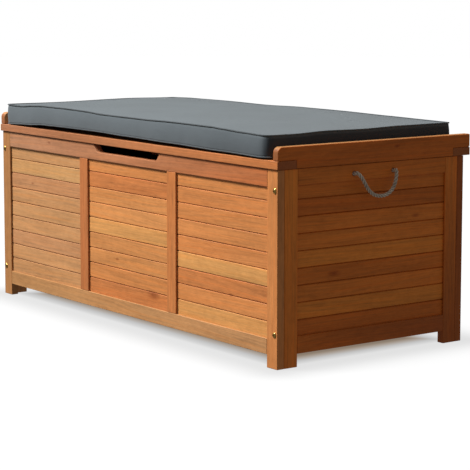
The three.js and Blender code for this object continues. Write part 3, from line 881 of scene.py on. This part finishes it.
def sweep(bm, route, radius, sides, yarn, core, reach, start):
    """Adds a strand with rounded ends along the route. The layer yarn gets the distance along the
    strand and round it, and how far out it is from the rope's core, where reach is 1."""
    frames = frames_along(route)
    rings = []
    for point, distance, middle, (_, first, second) in zip(route, distances_along(route), core, frames):
        ring = add_ring(bm, point, first, second, radius, sides)
        for k, vert in enumerate(ring):
            out = (vert.co - middle).length / reach
            vert[yarn] = (start + distance, 2 * math.pi * k / sides * radius, out)
        rings.append(ring)
    skin(bm, rings)
    for ring, point, way in ((rings[0], route[0], -frames[0][0]), (rings[-1], route[-1], frames[-1][0])):
        tip = bm.verts.new(point + way * radius * 0.5)
        tip[yarn] = ring[0][yarn]
        skin(bm, [ring, [tip]])


def three_strands(route, diameter, start=0.0):
    """A laid rope of three strands along the route."""
    strand = diameter / 2 / (1 + 2 / math.sqrt(3)) * 1.07
    orbit = diameter / 2 - strand
    bm = bmesh.new()
    yarn = bm.verts.layers.float_vector.new("yarn")
    stations = list(zip(route, frames_along(route), distances_along(route)))
    for k in range(3):
        centres = []
        for point, (_, first, second), distance in stations:
            turn = 2 * math.pi * (k / 3 + (start + distance) / ROPE_LAY)
            centres.append(point + (first * math.cos(turn) + second * math.sin(turn)) * orbit)
        sweep(bm, centres, strand, 12, yarn, route, diameter / 2, start)
    return bm


def stopper_knot(mouth, inwards):
    """The rope inside the wall: it comes out of the hole, wraps itself twice and ends in a tail."""
    down = -Z
    side_way = inwards.cross(down).normalized()
    points = [mouth, mouth + inwards * 8 * MM, mouth + inwards * 17 * MM]
    per_turn = 10
    total = 2 * per_turn
    for i in range(total + 1):
        angle = 2 * math.pi * i / per_turn
        reach = ROPE_DIAMETER * 0.98 * min(1.0, 0.35 + i * 0.3)
        depth = 21 * MM - 15 * MM * i / total
        way = down * math.cos(angle) + side_way * math.sin(angle)
        points.append(mouth + inwards * depth + way * reach)
    for side, drop in ((9, 3), (17, 9)):
        points.append(points[total + 3] + side_way * side * MM + down * drop * MM)
    return points


def rope_handle(side):
    sign = SIDES[side]
    low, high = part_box(f"side_{side}_top_rail")
    face = high[0] if side == "right" else low[0]
    middle = (low[1] + high[1]) / 2

    def at(out, behind, height):
        return Vector((face + sign * out * MM, middle + behind * MM, height * MM))

    inside = -WALL_THICKNESS / MM - 1.5
    mouths = {
        "front": at(inside, *ROPE_ROUTE[0][1:]),
        "back": at(inside, *ROPE_ROUTE[-1][1:]),
    }
    outside = [at(*point) for point in ROPE_ROUTE]
    route = smooth_route([mouths["front"], *outside, mouths["back"]], ROPE_STEP)
    rope_bm = three_strands(route, ROPE_DIAMETER)
    rope = keep_solid(f"rope_{side}", rope_bm, None, rope_fibre, [f"rope_handle_{side}"], 80)
    length = distances_along(route)[-1]
    for end, mouth in mouths.items():
        knot = smooth_route(stopper_knot(mouth, -X * sign), 2 * MM)
        knot_bm = three_strands(knot, ROPE_DIAMETER * 0.97, start=length)
        keep_solid(f"rope_knot_{side}_{end}", knot_bm, "root", rope_fibre, crease=80)
    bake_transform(rope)


# ---- hardware

def bolt(name, place, out, stands_for=()):
    """A dome-headed brass bolt with a hexagon socket and a thin washer. place is on the wood."""
    bm = bmesh.new()
    wide = BOLT_HEAD_RADIUS
    washer = [(-0.5, 0), (-0.5, wide), (0.45, wide), (0.7, wide * 0.96), (0.7, 0)]
    revolve(bm, washer, place, out, 36)
    foot, crown = 0.75, BOLT_HEAD_HEIGHT - 0.1
    turns = [step * math.radians(10.5) for step in range(1, 7)]
    dome = [(foot, 0), (foot, wide * 0.86)]
    for turn in turns:
        rise = math.sin(turn) / math.sin(turns[-1])
        dome.append((foot + (crown - foot) * rise, wide * 0.9 * math.cos(turn)))
    rings = revolve(bm, dome, place, out, 36)
    sixths = [i * math.pi / 3 for i in range(6)]
    socket = [(BOLT_SOCKET_RADIUS * math.cos(a), BOLT_SOCKET_RADIUS * math.sin(a)) for a in sixths]
    cut_recess(bm, rings[-1], out, socket, BOLT_SOCKET_DEPTH)
    keep_solid(name, bm, "root", brass, stands_for)


def bolts():
    for side in SIDES:
        front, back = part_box(f"front_stile_{side}")[0][1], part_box(f"back_stile_{side}")[1][1]
        for level in ("lower", "upper"):
            node = f"bolt_{side}_{level}"
            centre = box_of(node)[2]
            bolt(f"{node}_front", Vector((centre[0], front, centre[2])), -Y, [node])
            bolt(f"{node}_back", Vector((centre[0], back, centre[2])), Y)


def hinge_leaf(side, which, body):
    """One leaf with its knuckles and three countersunk screws."""
    node = f"hinge_{side}_{which}_leaf"
    _, _, centre, half = box_of(node)
    pin = box_of(f"hinge_{side}_pin")[2]
    below = which == "body"
    surface, thickness = 0.5 * MM, 1.8 * MM
    level = pin[2] + (surface + thickness / 2) * (-1 if below else 1)
    reach = HINGE_LEAF - HINGE_GAP
    bm = bmesh.new()
    middle = (centre[0], pin[1] - HINGE_GAP - reach / 2, level)
    rounded_plate(bm, middle, (half[0], reach / 2, thickness / 2), 2, 4 * MM)
    end = half[0] / MM
    knuckles = [(-MIDDLE_KNUCKLE_END, MIDDLE_KNUCKLE_END)]
    if below:
        knuckles = [(-end, -OUTER_KNUCKLE_START), (OUTER_KNUCKLE_START, end)]
    for span in knuckles:
        add_collar(bm, (centre[0], pin[1], pin[2]), *span, KNUCKLE_BORE, KNUCKLE_RADIUS, 0.4, 28)
    way = Z if below else -Z
    for across, depth in HINGE_SCREWS:
        face = Vector((centre[0] + across * MM, pin[1] - depth * MM, level))
        add_screw(bm, face + way * (thickness / 2 - 0.38 * MM), way, HINGE_SCREW_RADIUS)
    keep_solid(f"{node}_plate", bm, body, zinc_steel, [node])


def hinge_pin(side):
    node = f"hinge_{side}_pin"
    _, _, centre, half = box_of(node)
    end, radius = half[0] / MM, half[1] / MM
    dome = radius * 0.45
    profile = [(-end, 0), (-end + dome * 0.3, radius * 0.7), (-end + dome, radius)]
    profile += [(-distance, reach) for distance, reach in reversed(profile)]
    bm = bmesh.new()
    revolve(bm, profile, centre, X, 20)
    keep_solid(f"{node}_rod", bm, "root", zinc_steel, [node], crease=40)


def strut_eye(bm, centre):
    """Adds the round eye at a strut's end, round its stud."""
    half = STRUT_EYE_HALF
    add_collar(bm, centre, -half, half, STRUT_EYE_BORE, STRUT_EYE_RADIUS, 1, 32)


def gas_strut(side):
    sign = SIDES[side]
    low_stud = STRUT_LOW_STUD + X * sign * STRUT_STUD_X
    high_stud = STRUT_HIGH_STUD + X * sign * STRUT_STUD_X
    way = high_stud - low_stud
    length = way.length / MM

    bm = bmesh.new()
    strut_eye(bm, low_stud)
    tube = [
        (5.5, 0), (5.5, 3.6), (9, 4), (13.6, 4), (14.2, 7.6), (15.6, 8.7), (18, 8.95), (178, 8.95),
        (179, 8.5), (180.5, 8.5), (181.5, 8.95), (186.6, 8.95), (188.8, 8.2), (189.9, 6.4),
        (189.9, 4.35), (186, 4.3), (60, 4.3), (60, 0),
    ]
    revolve(bm, tube, low_stud, way, 36)
    name = f"strut_{side}_cylinder"
    keep_solid(f"{name}_tube", bm, name, black_steel, [name])

    bm = bmesh.new()
    rod = [(40, 0), (40, 3.6), (41, 3.95), (200, 3.95), (200.6, 3.6), (200.6, 0)]
    revolve(bm, rod, low_stud, way, 32)
    name = f"strut_{side}_rod"
    keep_solid(f"{name}_shaft", bm, name, polished_rod, [name])
    bm = bmesh.new()
    strut_eye(bm, high_stud)
    collar = [(20, 0), (20, 4.9), (19, 5.5), (9, 5.5), (6, 4.6), (5.4, 0)]
    revolve(bm, [(length - short, radius) for short, radius in collar], low_stud, way, 28)
    keep_solid(f"{name}_eye", bm, name, black_steel)

    strut_bracket(f"strut_{side}_body_bracket", "root", low_stud, sign, STRUT_SCREWS["body"])
    strut_bracket(f"strut_{side}_lid_bracket", "lid", high_stud, -sign, STRUT_SCREWS["lid"])


def strut_bracket(node, body, stud, away, screws):
    """A plate with its screws and the stud that the strut's eye turns on. away is the sign of x on
    the plate's side of the eye."""
    low, high, centre, half = box_of(node)
    outer, tip = (high[0], low[0]) if away > 0 else (low[0], high[0])
    plate = outer - away * 1 * MM
    bm = bmesh.new()
    rounded_plate(bm, (plate, centre[1], centre[2]), (1 * MM, half[1], half[2]), 0, 4.5 * MM)
    reach = abs(plate - tip) / MM
    profile = [(0, 0), (0, 5.6), (2.2, 5.6), (2.6, 5.2), (2.6, STUD_RADIUS)]
    profile += [(reach - 0.5, STUD_RADIUS), (reach, 2.9), (reach, 0)]
    revolve(bm, profile, (plate, stud[1], stud[2]), X * -away, 28)
    for across, up in screws:
        face = Vector((plate - away * 0.62 * MM, stud[1] + across * MM, stud[2] + up * MM))
        add_screw(bm, face, X * -away, STRUT_SCREW_RADIUS)
    keep_solid(f"{node}_plate", bm, body, zinc_steel, [node])


def small_screws(name, body, places, axis):
    bm = bmesh.new()
    for place in places:
        add_screw(bm, Vector(place) - axis * 0.3 * MM, axis, WOOD_SCREW_RADIUS)
    keep_solid(name, bm, body, zinc_steel)


def wood_screws():
    """Screws that hold the floor boards to the cleats, and the lid boards to the battens."""
    low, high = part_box("floor_boards")
    rows = (low[1] + 11 * MM, high[1] - 11 * MM)
    columns = along_boards(low[0], high[0], FLOOR_BOARDS, 0.5)
    small_screws("floor_screws", "root", [(x, y, high[2]) for x in columns for y in rows], Z)
    places = []
    board_low, board_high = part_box("lid_boards")
    for place in ("left", "middle", "right"):
        low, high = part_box(f"lid_batten_{place}")
        for y in along_boards(board_low[1], board_high[1], LID_BOARDS, 0.5):
            if low[1] + 8 * MM < y < high[1] - 8 * MM:
                places.append(((low[0] + high[0]) / 2, y, low[2]))
    small_screws("batten_screws", "lid", places, -Z)


# ---- cushion

def between(stations, place):
    """Eased reading of a list of (place, value) pairs."""
    for (start, low), (end, high) in zip(stations, stations[1:]):
        if place <= end:
            t = min(max((place - start) / (end - start), 0.0), 1.0)
            return low + (high - low) * t * t * (3 - 2 * t)
    return stations[-1][1]


def seam_height(seams, x, y, low, high):
    """The height over the lid of a seam, carried over from the four edges to the whole panel."""
    u, v = (x - low[0]) / (high[0] - low[0]), (y - low[1]) / (high[1] - low[1])
    front, back = between(seams["front"], x / MM), between(seams["back"], x / MM)
    left, right = between(seams["left"], y / MM), between(seams["right"], y / MM)
    corners = [[seams[edge][end][1] for end in (0, -1)] for edge in ("front", "back")]
    flat = (1 - v) * ((1 - u) * corners[0][0] + u * corners[0][1])
    flat += v * ((1 - u) * corners[1][0] + u * corners[1][1])
    return ((1 - v) * front + v * back + (1 - u) * left + u * right - flat) * MM


def round_corner(x, y, half_x, half_y):
    """Moves a point of a plain rectangle into one with rounded corners."""
    across, along = (abs(x) - half_x) / CORNER_ZONE + 1, (abs(y) - half_y) / CORNER_ZONE + 1
    if across <= 0 or along <= 0:
        return x, y
    radius = CORNER_RADII[x > 0, y > 0] / CORNER_ZONE
    reach = max(across, along)
    u, v, centre = across / reach, along / reach, 1 - radius
    shrink = 1.0
    if min(u, v) > centre:
        dot, square = centre * (u + v), u * u + v * v
        shrink = (dot + math.sqrt(dot * dot - square * (2 * centre * centre - radius * radius))) / square
    scale = 1 - (1 - shrink) * reach * reach
    return (
        math.copysign((across * scale - 1) * CORNER_ZONE + half_x, x),
        math.copysign((along * scale - 1) * CORNER_ZONE + half_y, y),
    )


class CushionGrid:
    """The vertices of a box-shaped pad: columns and rows seen from above, levels up its sides."""

    def __init__(self, low, high):
        self.low, self.high = low, high
        self.columns = round((high[0] - low[0]) / CUSHION_CELL)
        self.rows = round((high[1] - low[1]) / CUSHION_CELL)
        self.levels = CUSHION_LEVELS
        self.index, self.keys = {}, []
        for k in range(self.levels + 1):
            for j in range(self.rows + 1):
                for i in range(self.columns + 1):
                    if self.on_skin(i, j, k):
                        self.index[i, j, k] = len(self.keys)
                        self.keys.append((i, j, k))

    def on_skin(self, i, j, k):
        return i in (0, self.columns) or j in (0, self.rows) or k in (0, self.levels)

    def place(self, i, j, k):
        """Where a vertex starts: between the two seams, with edges that pull in between corners."""
        centre_x, centre_y = (self.low[0] + self.high[0]) / 2, (self.low[1] + self.high[1]) / 2
        half_x, half_y = (self.high[0] - self.low[0]) / 2, (self.high[1] - self.low[1]) / 2
        u, v = 2 * i / self.columns - 1, 2 * j / self.rows - 1
        x, y = round_corner(u * half_x, v * half_y, half_x, half_y)
        pull = EDGE_PULL * (1 - u ** 4) * v ** 6 + EDGE_RIPPLE * v ** 6 * math.sin(x * 31)
        y -= pull * (1 if v > 0 else -1)
        x -= EDGE_PULL * (1 - v ** 4) * u ** 6 * (1 if u > 0 else -1)
        swell = START_BULGE * math.sin(math.pi * k / self.levels)
        x += swell * ((i == self.columns) - (i == 0))
        y += swell * ((j == self.rows) - (j == 0))
        x, y = x + centre_x, y + centre_y
        bottom = self.low[2] + seam_height(BOTTOM_SEAM, x, y, self.low, self.high)
        top = self.low[2] + seam_height(TOP_SEAM, x, y, self.low, self.high)
        return Vector((x, y, bottom + (top - bottom) * k / self.levels))

    def faces(self):
        found = []

        def quad(*corners):
            found.append([self.index[corner] for corner in corners])

        for k in (0, self.levels):
            for i in range(self.columns):
                for j in range(self.rows):
                    quad((i, j, k), (i + 1, j, k), (i + 1, j + 1, k), (i, j + 1, k))
        for k in range(self.levels):
            for j in (0, self.rows):
                for i in range(self.columns):
                    quad((i, j, k), (i + 1, j, k), (i + 1, j, k + 1), (i, j, k + 1))
            for i in (0, self.columns):
                for j in range(self.rows):
                    quad((i, j, k), (i, j + 1, k), (i, j + 1, k + 1), (i, j, k + 1))
        return found

    def soiling(self, i, j, k):
        """How much painted shade the cloth has: none on the top panel, most on the right and back of the
        boxing, and elsewhere more towards the right, the bottom and the right-hand corner.
        """
        if k == self.levels:
            return 0.0
        if i == self.columns or j == self.rows:
            return 0.8
        to_right = min(max((i / self.columns - 0.35) / 0.65, 0.0), 1.0)
        low = 1 - k / self.levels
        return 0.1 + 0.12 * low + (0.12 + 0.25 * low) * to_right ** 2 + 0.3 * (i > self.columns - 2)

    def rim(self, k):
        """The indices of the seam at a level, once round."""
        loop = [(i, 0, k) for i in range(self.columns)]
        loop += [(self.columns, j, k) for j in range(self.rows)]
        loop += [(i, self.rows, k) for i in range(self.columns, 0, -1)]
        loop += [(0, j, k) for j in range(self.rows, 0, -1)]
        return [self.index[key] for key in loop]

    def to_seam(self, i, j, k):
        """How far a vertex is from the nearest seam, in metres, and how far it is along it."""
        in_columns, in_rows = min(i, self.columns - i), min(j, self.rows - j)
        if k in (0, self.levels):
            along = j if in_columns < in_rows else i
            return min(in_columns, in_rows) * CUSHION_CELL, along * CUSHION_CELL
        steps = min(k, self.levels - k)
        along = j if in_columns == 0 else i
        return steps * (self.high[2] - self.low[2]) / self.levels, along * CUSHION_CELL


def blow_up(piece, seam_group):
    """Runs the cloth simulation with the seams held, and returns where each vertex ends."""
    cloth = piece.modifiers.new("cloth", "CLOTH")
    for key, value in COVER_CLOTH.items():
        setattr(cloth.settings, key, value)
    cloth.settings.vertex_group_mass = seam_group
    cloth.settings.uniform_pressure_force = COVER_PRESSURE
    cloth.settings.effector_weights.gravity = 0
    cloth.point_cache.frame_start = 1
    cloth.point_cache.frame_end = COVER_FRAMES
    scene = bpy.context.scene
    for step in range(1, COVER_FRAMES + 1):
        scene.frame_set(step)
    result = piece.evaluated_get(bpy.context.evaluated_depsgraph_get())
    places = [vert.co.copy() for vert in result.data.vertices]
    piece.modifiers.remove(cloth)
    scene.frame_set(1)
    return places


def settle(grid, before, after):
    """Limits how far the blown-up cover moves, as its foam does, rests it on the lid, and adds
    puckers by the seams and the shallow dents of use."""
    def wrinkle(*place):
        return noise.noise(Vector(place))

    places = []
    for (i, j, k), start, end in zip(grid.keys, before, after):
        limit = {0: UNDERSIDE_SAG, grid.levels: CROWN}.get(k, BOXING_BULGE)
        move = end - start
        length = move.length
        if length > 1e-6:
            move *= limit * math.tanh(length / limit) / length
        place = start + move
        distance, along = grid.to_seam(i, j, k)
        near = math.exp(-distance / PUCKER_REACH) * min(distance / (4 * MM), 1)
        pucker = wrinkle(along * 42, distance * 9, k * 0.7 + i / grid.columns) * near * PUCKERS
        if k == grid.levels:
            dents = wrinkle(place[0] * 7, place[1] * 9, 3.1) * DENTS
            creases = wrinkle(place[0] * 22, place[1] * 26, 8.4) * CREASES
            place[2] += pucker + (dents + creases) * (1 - math.exp(-distance / DENT_REACH))
        elif k > 0:
            way = Vector((i == grid.columns, j == grid.rows, 0)) - Vector((i == 0, j == 0, 0))
            place += way.normalized() * pucker
        place[2] = max(place[2], grid.low[2] + 0.35 * MM)
        places.append(place)
    return places


def closed_tube(bm, route, radius, sides=10):
    """Adds a tube along a closed route."""
    rings = []
    for before, point, after in zip(route[-1:] + route, route, route[1:] + route[:1]):
        way = (after - before).normalized()
        first = (Z - way * way.dot(Z)).normalized()
        rings.append(add_ring(bm, point, first, way.cross(first), radius, sides))
    skin(bm, rings, closed=True)


def cushion():
    low, high = box_of("cushion")[:2]
    high[1] += COVER_SLACK
    grid = CushionGrid(low, high)
    before = [grid.place(*key) for key in grid.keys]
    mesh = bpy.data.meshes.new("cushion_cover")
    mesh.from_pydata(before, [], grid.faces())
    bm = bmesh.new()
    bm.from_mesh(mesh)
    bmesh.ops.recalc_face_normals(bm, faces=bm.faces)
    bm.to_mesh(mesh)
    bm.free()
    cover = keep("cushion_cover", mesh, "cushion", cushion_cloth, ["cushion"])
    seams = {"bottom": grid.rim(0), "top": grid.rim(grid.levels)}
    # The painted shade of the boxing.
    soiling = mesh.attributes.new("soiling", "FLOAT", "POINT")
    soiling.data.foreach_set("value", [grid.soiling(*key) for key in grid.keys])
    group = cover.vertex_groups.new(name="seams")
    group.add(seams["bottom"] + seams["top"], 1.0, "REPLACE")
    after = blow_up(cover, "seams")
    cover.vertex_groups.clear()
    places = settle(grid, before, after)
    mesh.vertices.foreach_set("co", np.array(places, np.float32).ravel())
    mesh.shade_smooth()

    bm = bmesh.new()
    bm.from_mesh(mesh)
    bm.verts.ensure_lookup_table()
    bm.normal_update()
    crease = bm.edges.layers.float.new("crease_edge")
    for seam in seams.values():
        on_seam = set(seam)
        for edge in bm.edges:
            if edge.verts[0].index in on_seam and edge.verts[1].index in on_seam:
                edge[crease] = 0.85
    normals = [vert.normal.copy() for vert in bm.verts]
    bm.to_mesh(mesh)
    bm.free()
    smooth = cover.modifiers.new("smooth", "SUBSURF")
    smooth.levels = smooth.render_levels = 1

    for where, seam in seams.items():
        route = [places[i] + normals[i] * PIPING_PROUD for i in seam]
        route = [(a + b * 6 + c) / 8 for a, b, c in zip(route[-1:] + route, route, route[1:] + route[:1])]
        bm = bmesh.new()
        closed_tube(bm, route, PIPING_RADIUS)
        keep_solid(f"cushion_piping_{where}", bm, "cushion", piping_cloth, crease=80)
    zip_flap(grid, places)


def zip_flap(grid, places):
    """The flap over the zip in the back of the boxing, with the zip's slider at its right end."""
    first, last = round(grid.columns * 0.1), round(grid.columns * 0.9)
    bm = bmesh.new()
    rings = []
    for i in range(first, last + 1):
        column = [places[grid.index[i, grid.rows, k]] for k in range(grid.levels + 1)]

        def at(height):
            k = min(int(height), grid.levels - 1)
            return column[k].lerp(column[k + 1], height - k)

        full = 0.4 if i in (first, last) else 1.0
        section = [
            (2.25, 0.1), (2.3, 1.1 * full), (3.0, 1.4 * full), (3.85, 1.2 * full), (3.95, 0.1),
            (3.1, -0.8),
        ]
        rings.append([bm.verts.new(at(height) + Y * proud * MM) for height, proud in section])
    skin(bm, rings)
    bm.faces.new(rings[0])
    bm.faces.new(rings[-1])
    keep_solid("cushion_zip_flap", bm, "cushion", cushion_cloth, crease=50)

    end = places[grid.index[last, grid.rows, 3]] + Vector((6, 1.9, -1)) * MM
    bm = bmesh.new()
    rounded_plate(bm, end, (5 * MM, 1.3 * MM, 3.4 * MM), 1, 2 * MM)
    rounded_plate(bm, end + Vector((3, 1.6, -9)) * MM, (2.6 * MM, 0.6 * MM, 9 * MM), 1, 2 * MM)
    keep_solid("cushion_zip_slider", bm, "cushion", black_steel, crease=50)


# ---- floor and light

def add_studio():
    """A white floor that glows by itself, so that it has no visible edge, with a soft painted shadow
    round and under the box and painted warm bounce light close to it; a weak even sky, a large key light
    at the upper left of the front and a soft light on top."""
    bm = bmesh.new()
    bmesh.ops.create_circle(bm, cap_ends=True, segments=96, radius=FLOOR_RADIUS)
    ground = new_object("studio_floor", mesh_of(bm, "studio_floor", 35))
    paper = Finish("studio_paper", Roughness=0.9, Specular_IOR_Level=0.0)
    paper.set("Base Color", (0.03, 0.03, 0.03, 1))
    # The emission paints the shadow: darker under the box, fading out round it.
    beyond = paper.vector("SUBTRACT", paper.vector("ABSOLUTE", paper.place()), FOOTPRINT)
    axes = paper.axes(beyond)
    under = paper.math("MAXIMUM", axes[0], axes[1])
    under = paper.math("MINIMUM", paper.math("ADD", under, CONTACT_WIDTH), 0)
    outside = paper.vector("MULTIPLY", paper.vector("MAXIMUM", beyond, (0, 0, 0)), (1, 1, 0))
    away = paper.measure("LENGTH", outside)
    spread = paper.math("POWER", paper.math("DIVIDE", away, SHADOW_REACH), 2)
    shade = paper.times(paper.math("EXPONENT", paper.times(spread, -1)), SHADOW_DEPTH)
    shade = paper.math("SUBTRACT", shade, paper.times(under, DARKENING_UNDER))
    paper.set("Emission Strength", paper.math("MAXIMUM", paper.math("SUBTRACT", 1, shade), DARKEST))
    # Painted warm bounce light close to and under the box.
    near = paper.range(under, -0.035, -0.075)
    paper.set("Emission Color", paper.mix(near, (1, 1, 1, 1), (1, 0.8, 0.62, 1)))
    ground.data.materials.append(paper.material)
    ground.visible_diffuse = False
    ground.visible_glossy = False

    world = bpy.data.worlds.new("studio_air")
    bpy.context.scene.world = world
    world.use_nodes = True
    tree = world.node_tree
    soft = tree.nodes["Background"]
    soft.inputs["Color"].default_value = (1.0, 0.98, 0.94, 1)
    soft.inputs["Strength"].default_value = SKY
    white = tree.nodes.new("ShaderNodeBackground")
    white.inputs["Color"].default_value = (1, 1, 1, 1)
    rays = tree.nodes.new("ShaderNodeLightPath")
    choose = tree.nodes.new("ShaderNodeMixShader")
    tree.links.new(rays.outputs["Is Camera Ray"], choose.inputs[0])
    tree.links.new(soft.outputs[0], choose.inputs[1])
    tree.links.new(white.outputs[0], choose.inputs[2])
    tree.links.new(choose.outputs[0], tree.nodes["World Output"].inputs[0])

    add_light("key", (-2.9, -4.3, 6.2), 2.6, 1020)
    add_light("top", (-0.2, 0.6, 3.6), 2.4, 20)


def add_light(name, place, size, power):
    data = bpy.data.lights.new(name, "AREA")
    data.shape = "DISK"
    data.size = size
    data.energy = power
    light = new_object(name, data)
    light.location = place
    aim = Vector((0, 0, 0.25)) - Vector(place)
    light.rotation_euler = aim.to_track_quat("-Z", "Y").to_euler()


# ---- assembly

add_camera()
for side in SIDES:
    rope_handle(side)
wall("front", -Y, FRONT_SLATS)
wall("back", Y, BACK_SLATS)
for side in SIDES:
    side_wall(side)
floor_and_lid()
bolts()
for side in SIDES:
    hinge_leaf(side, "body", "root")
    hinge_leaf(side, "lid", "lid")
    hinge_pin(side)
    gas_strut(side)
wood_screws()
cushion()
add_studio()

bpy.context.scene.view_settings.view_transform = "Standard"
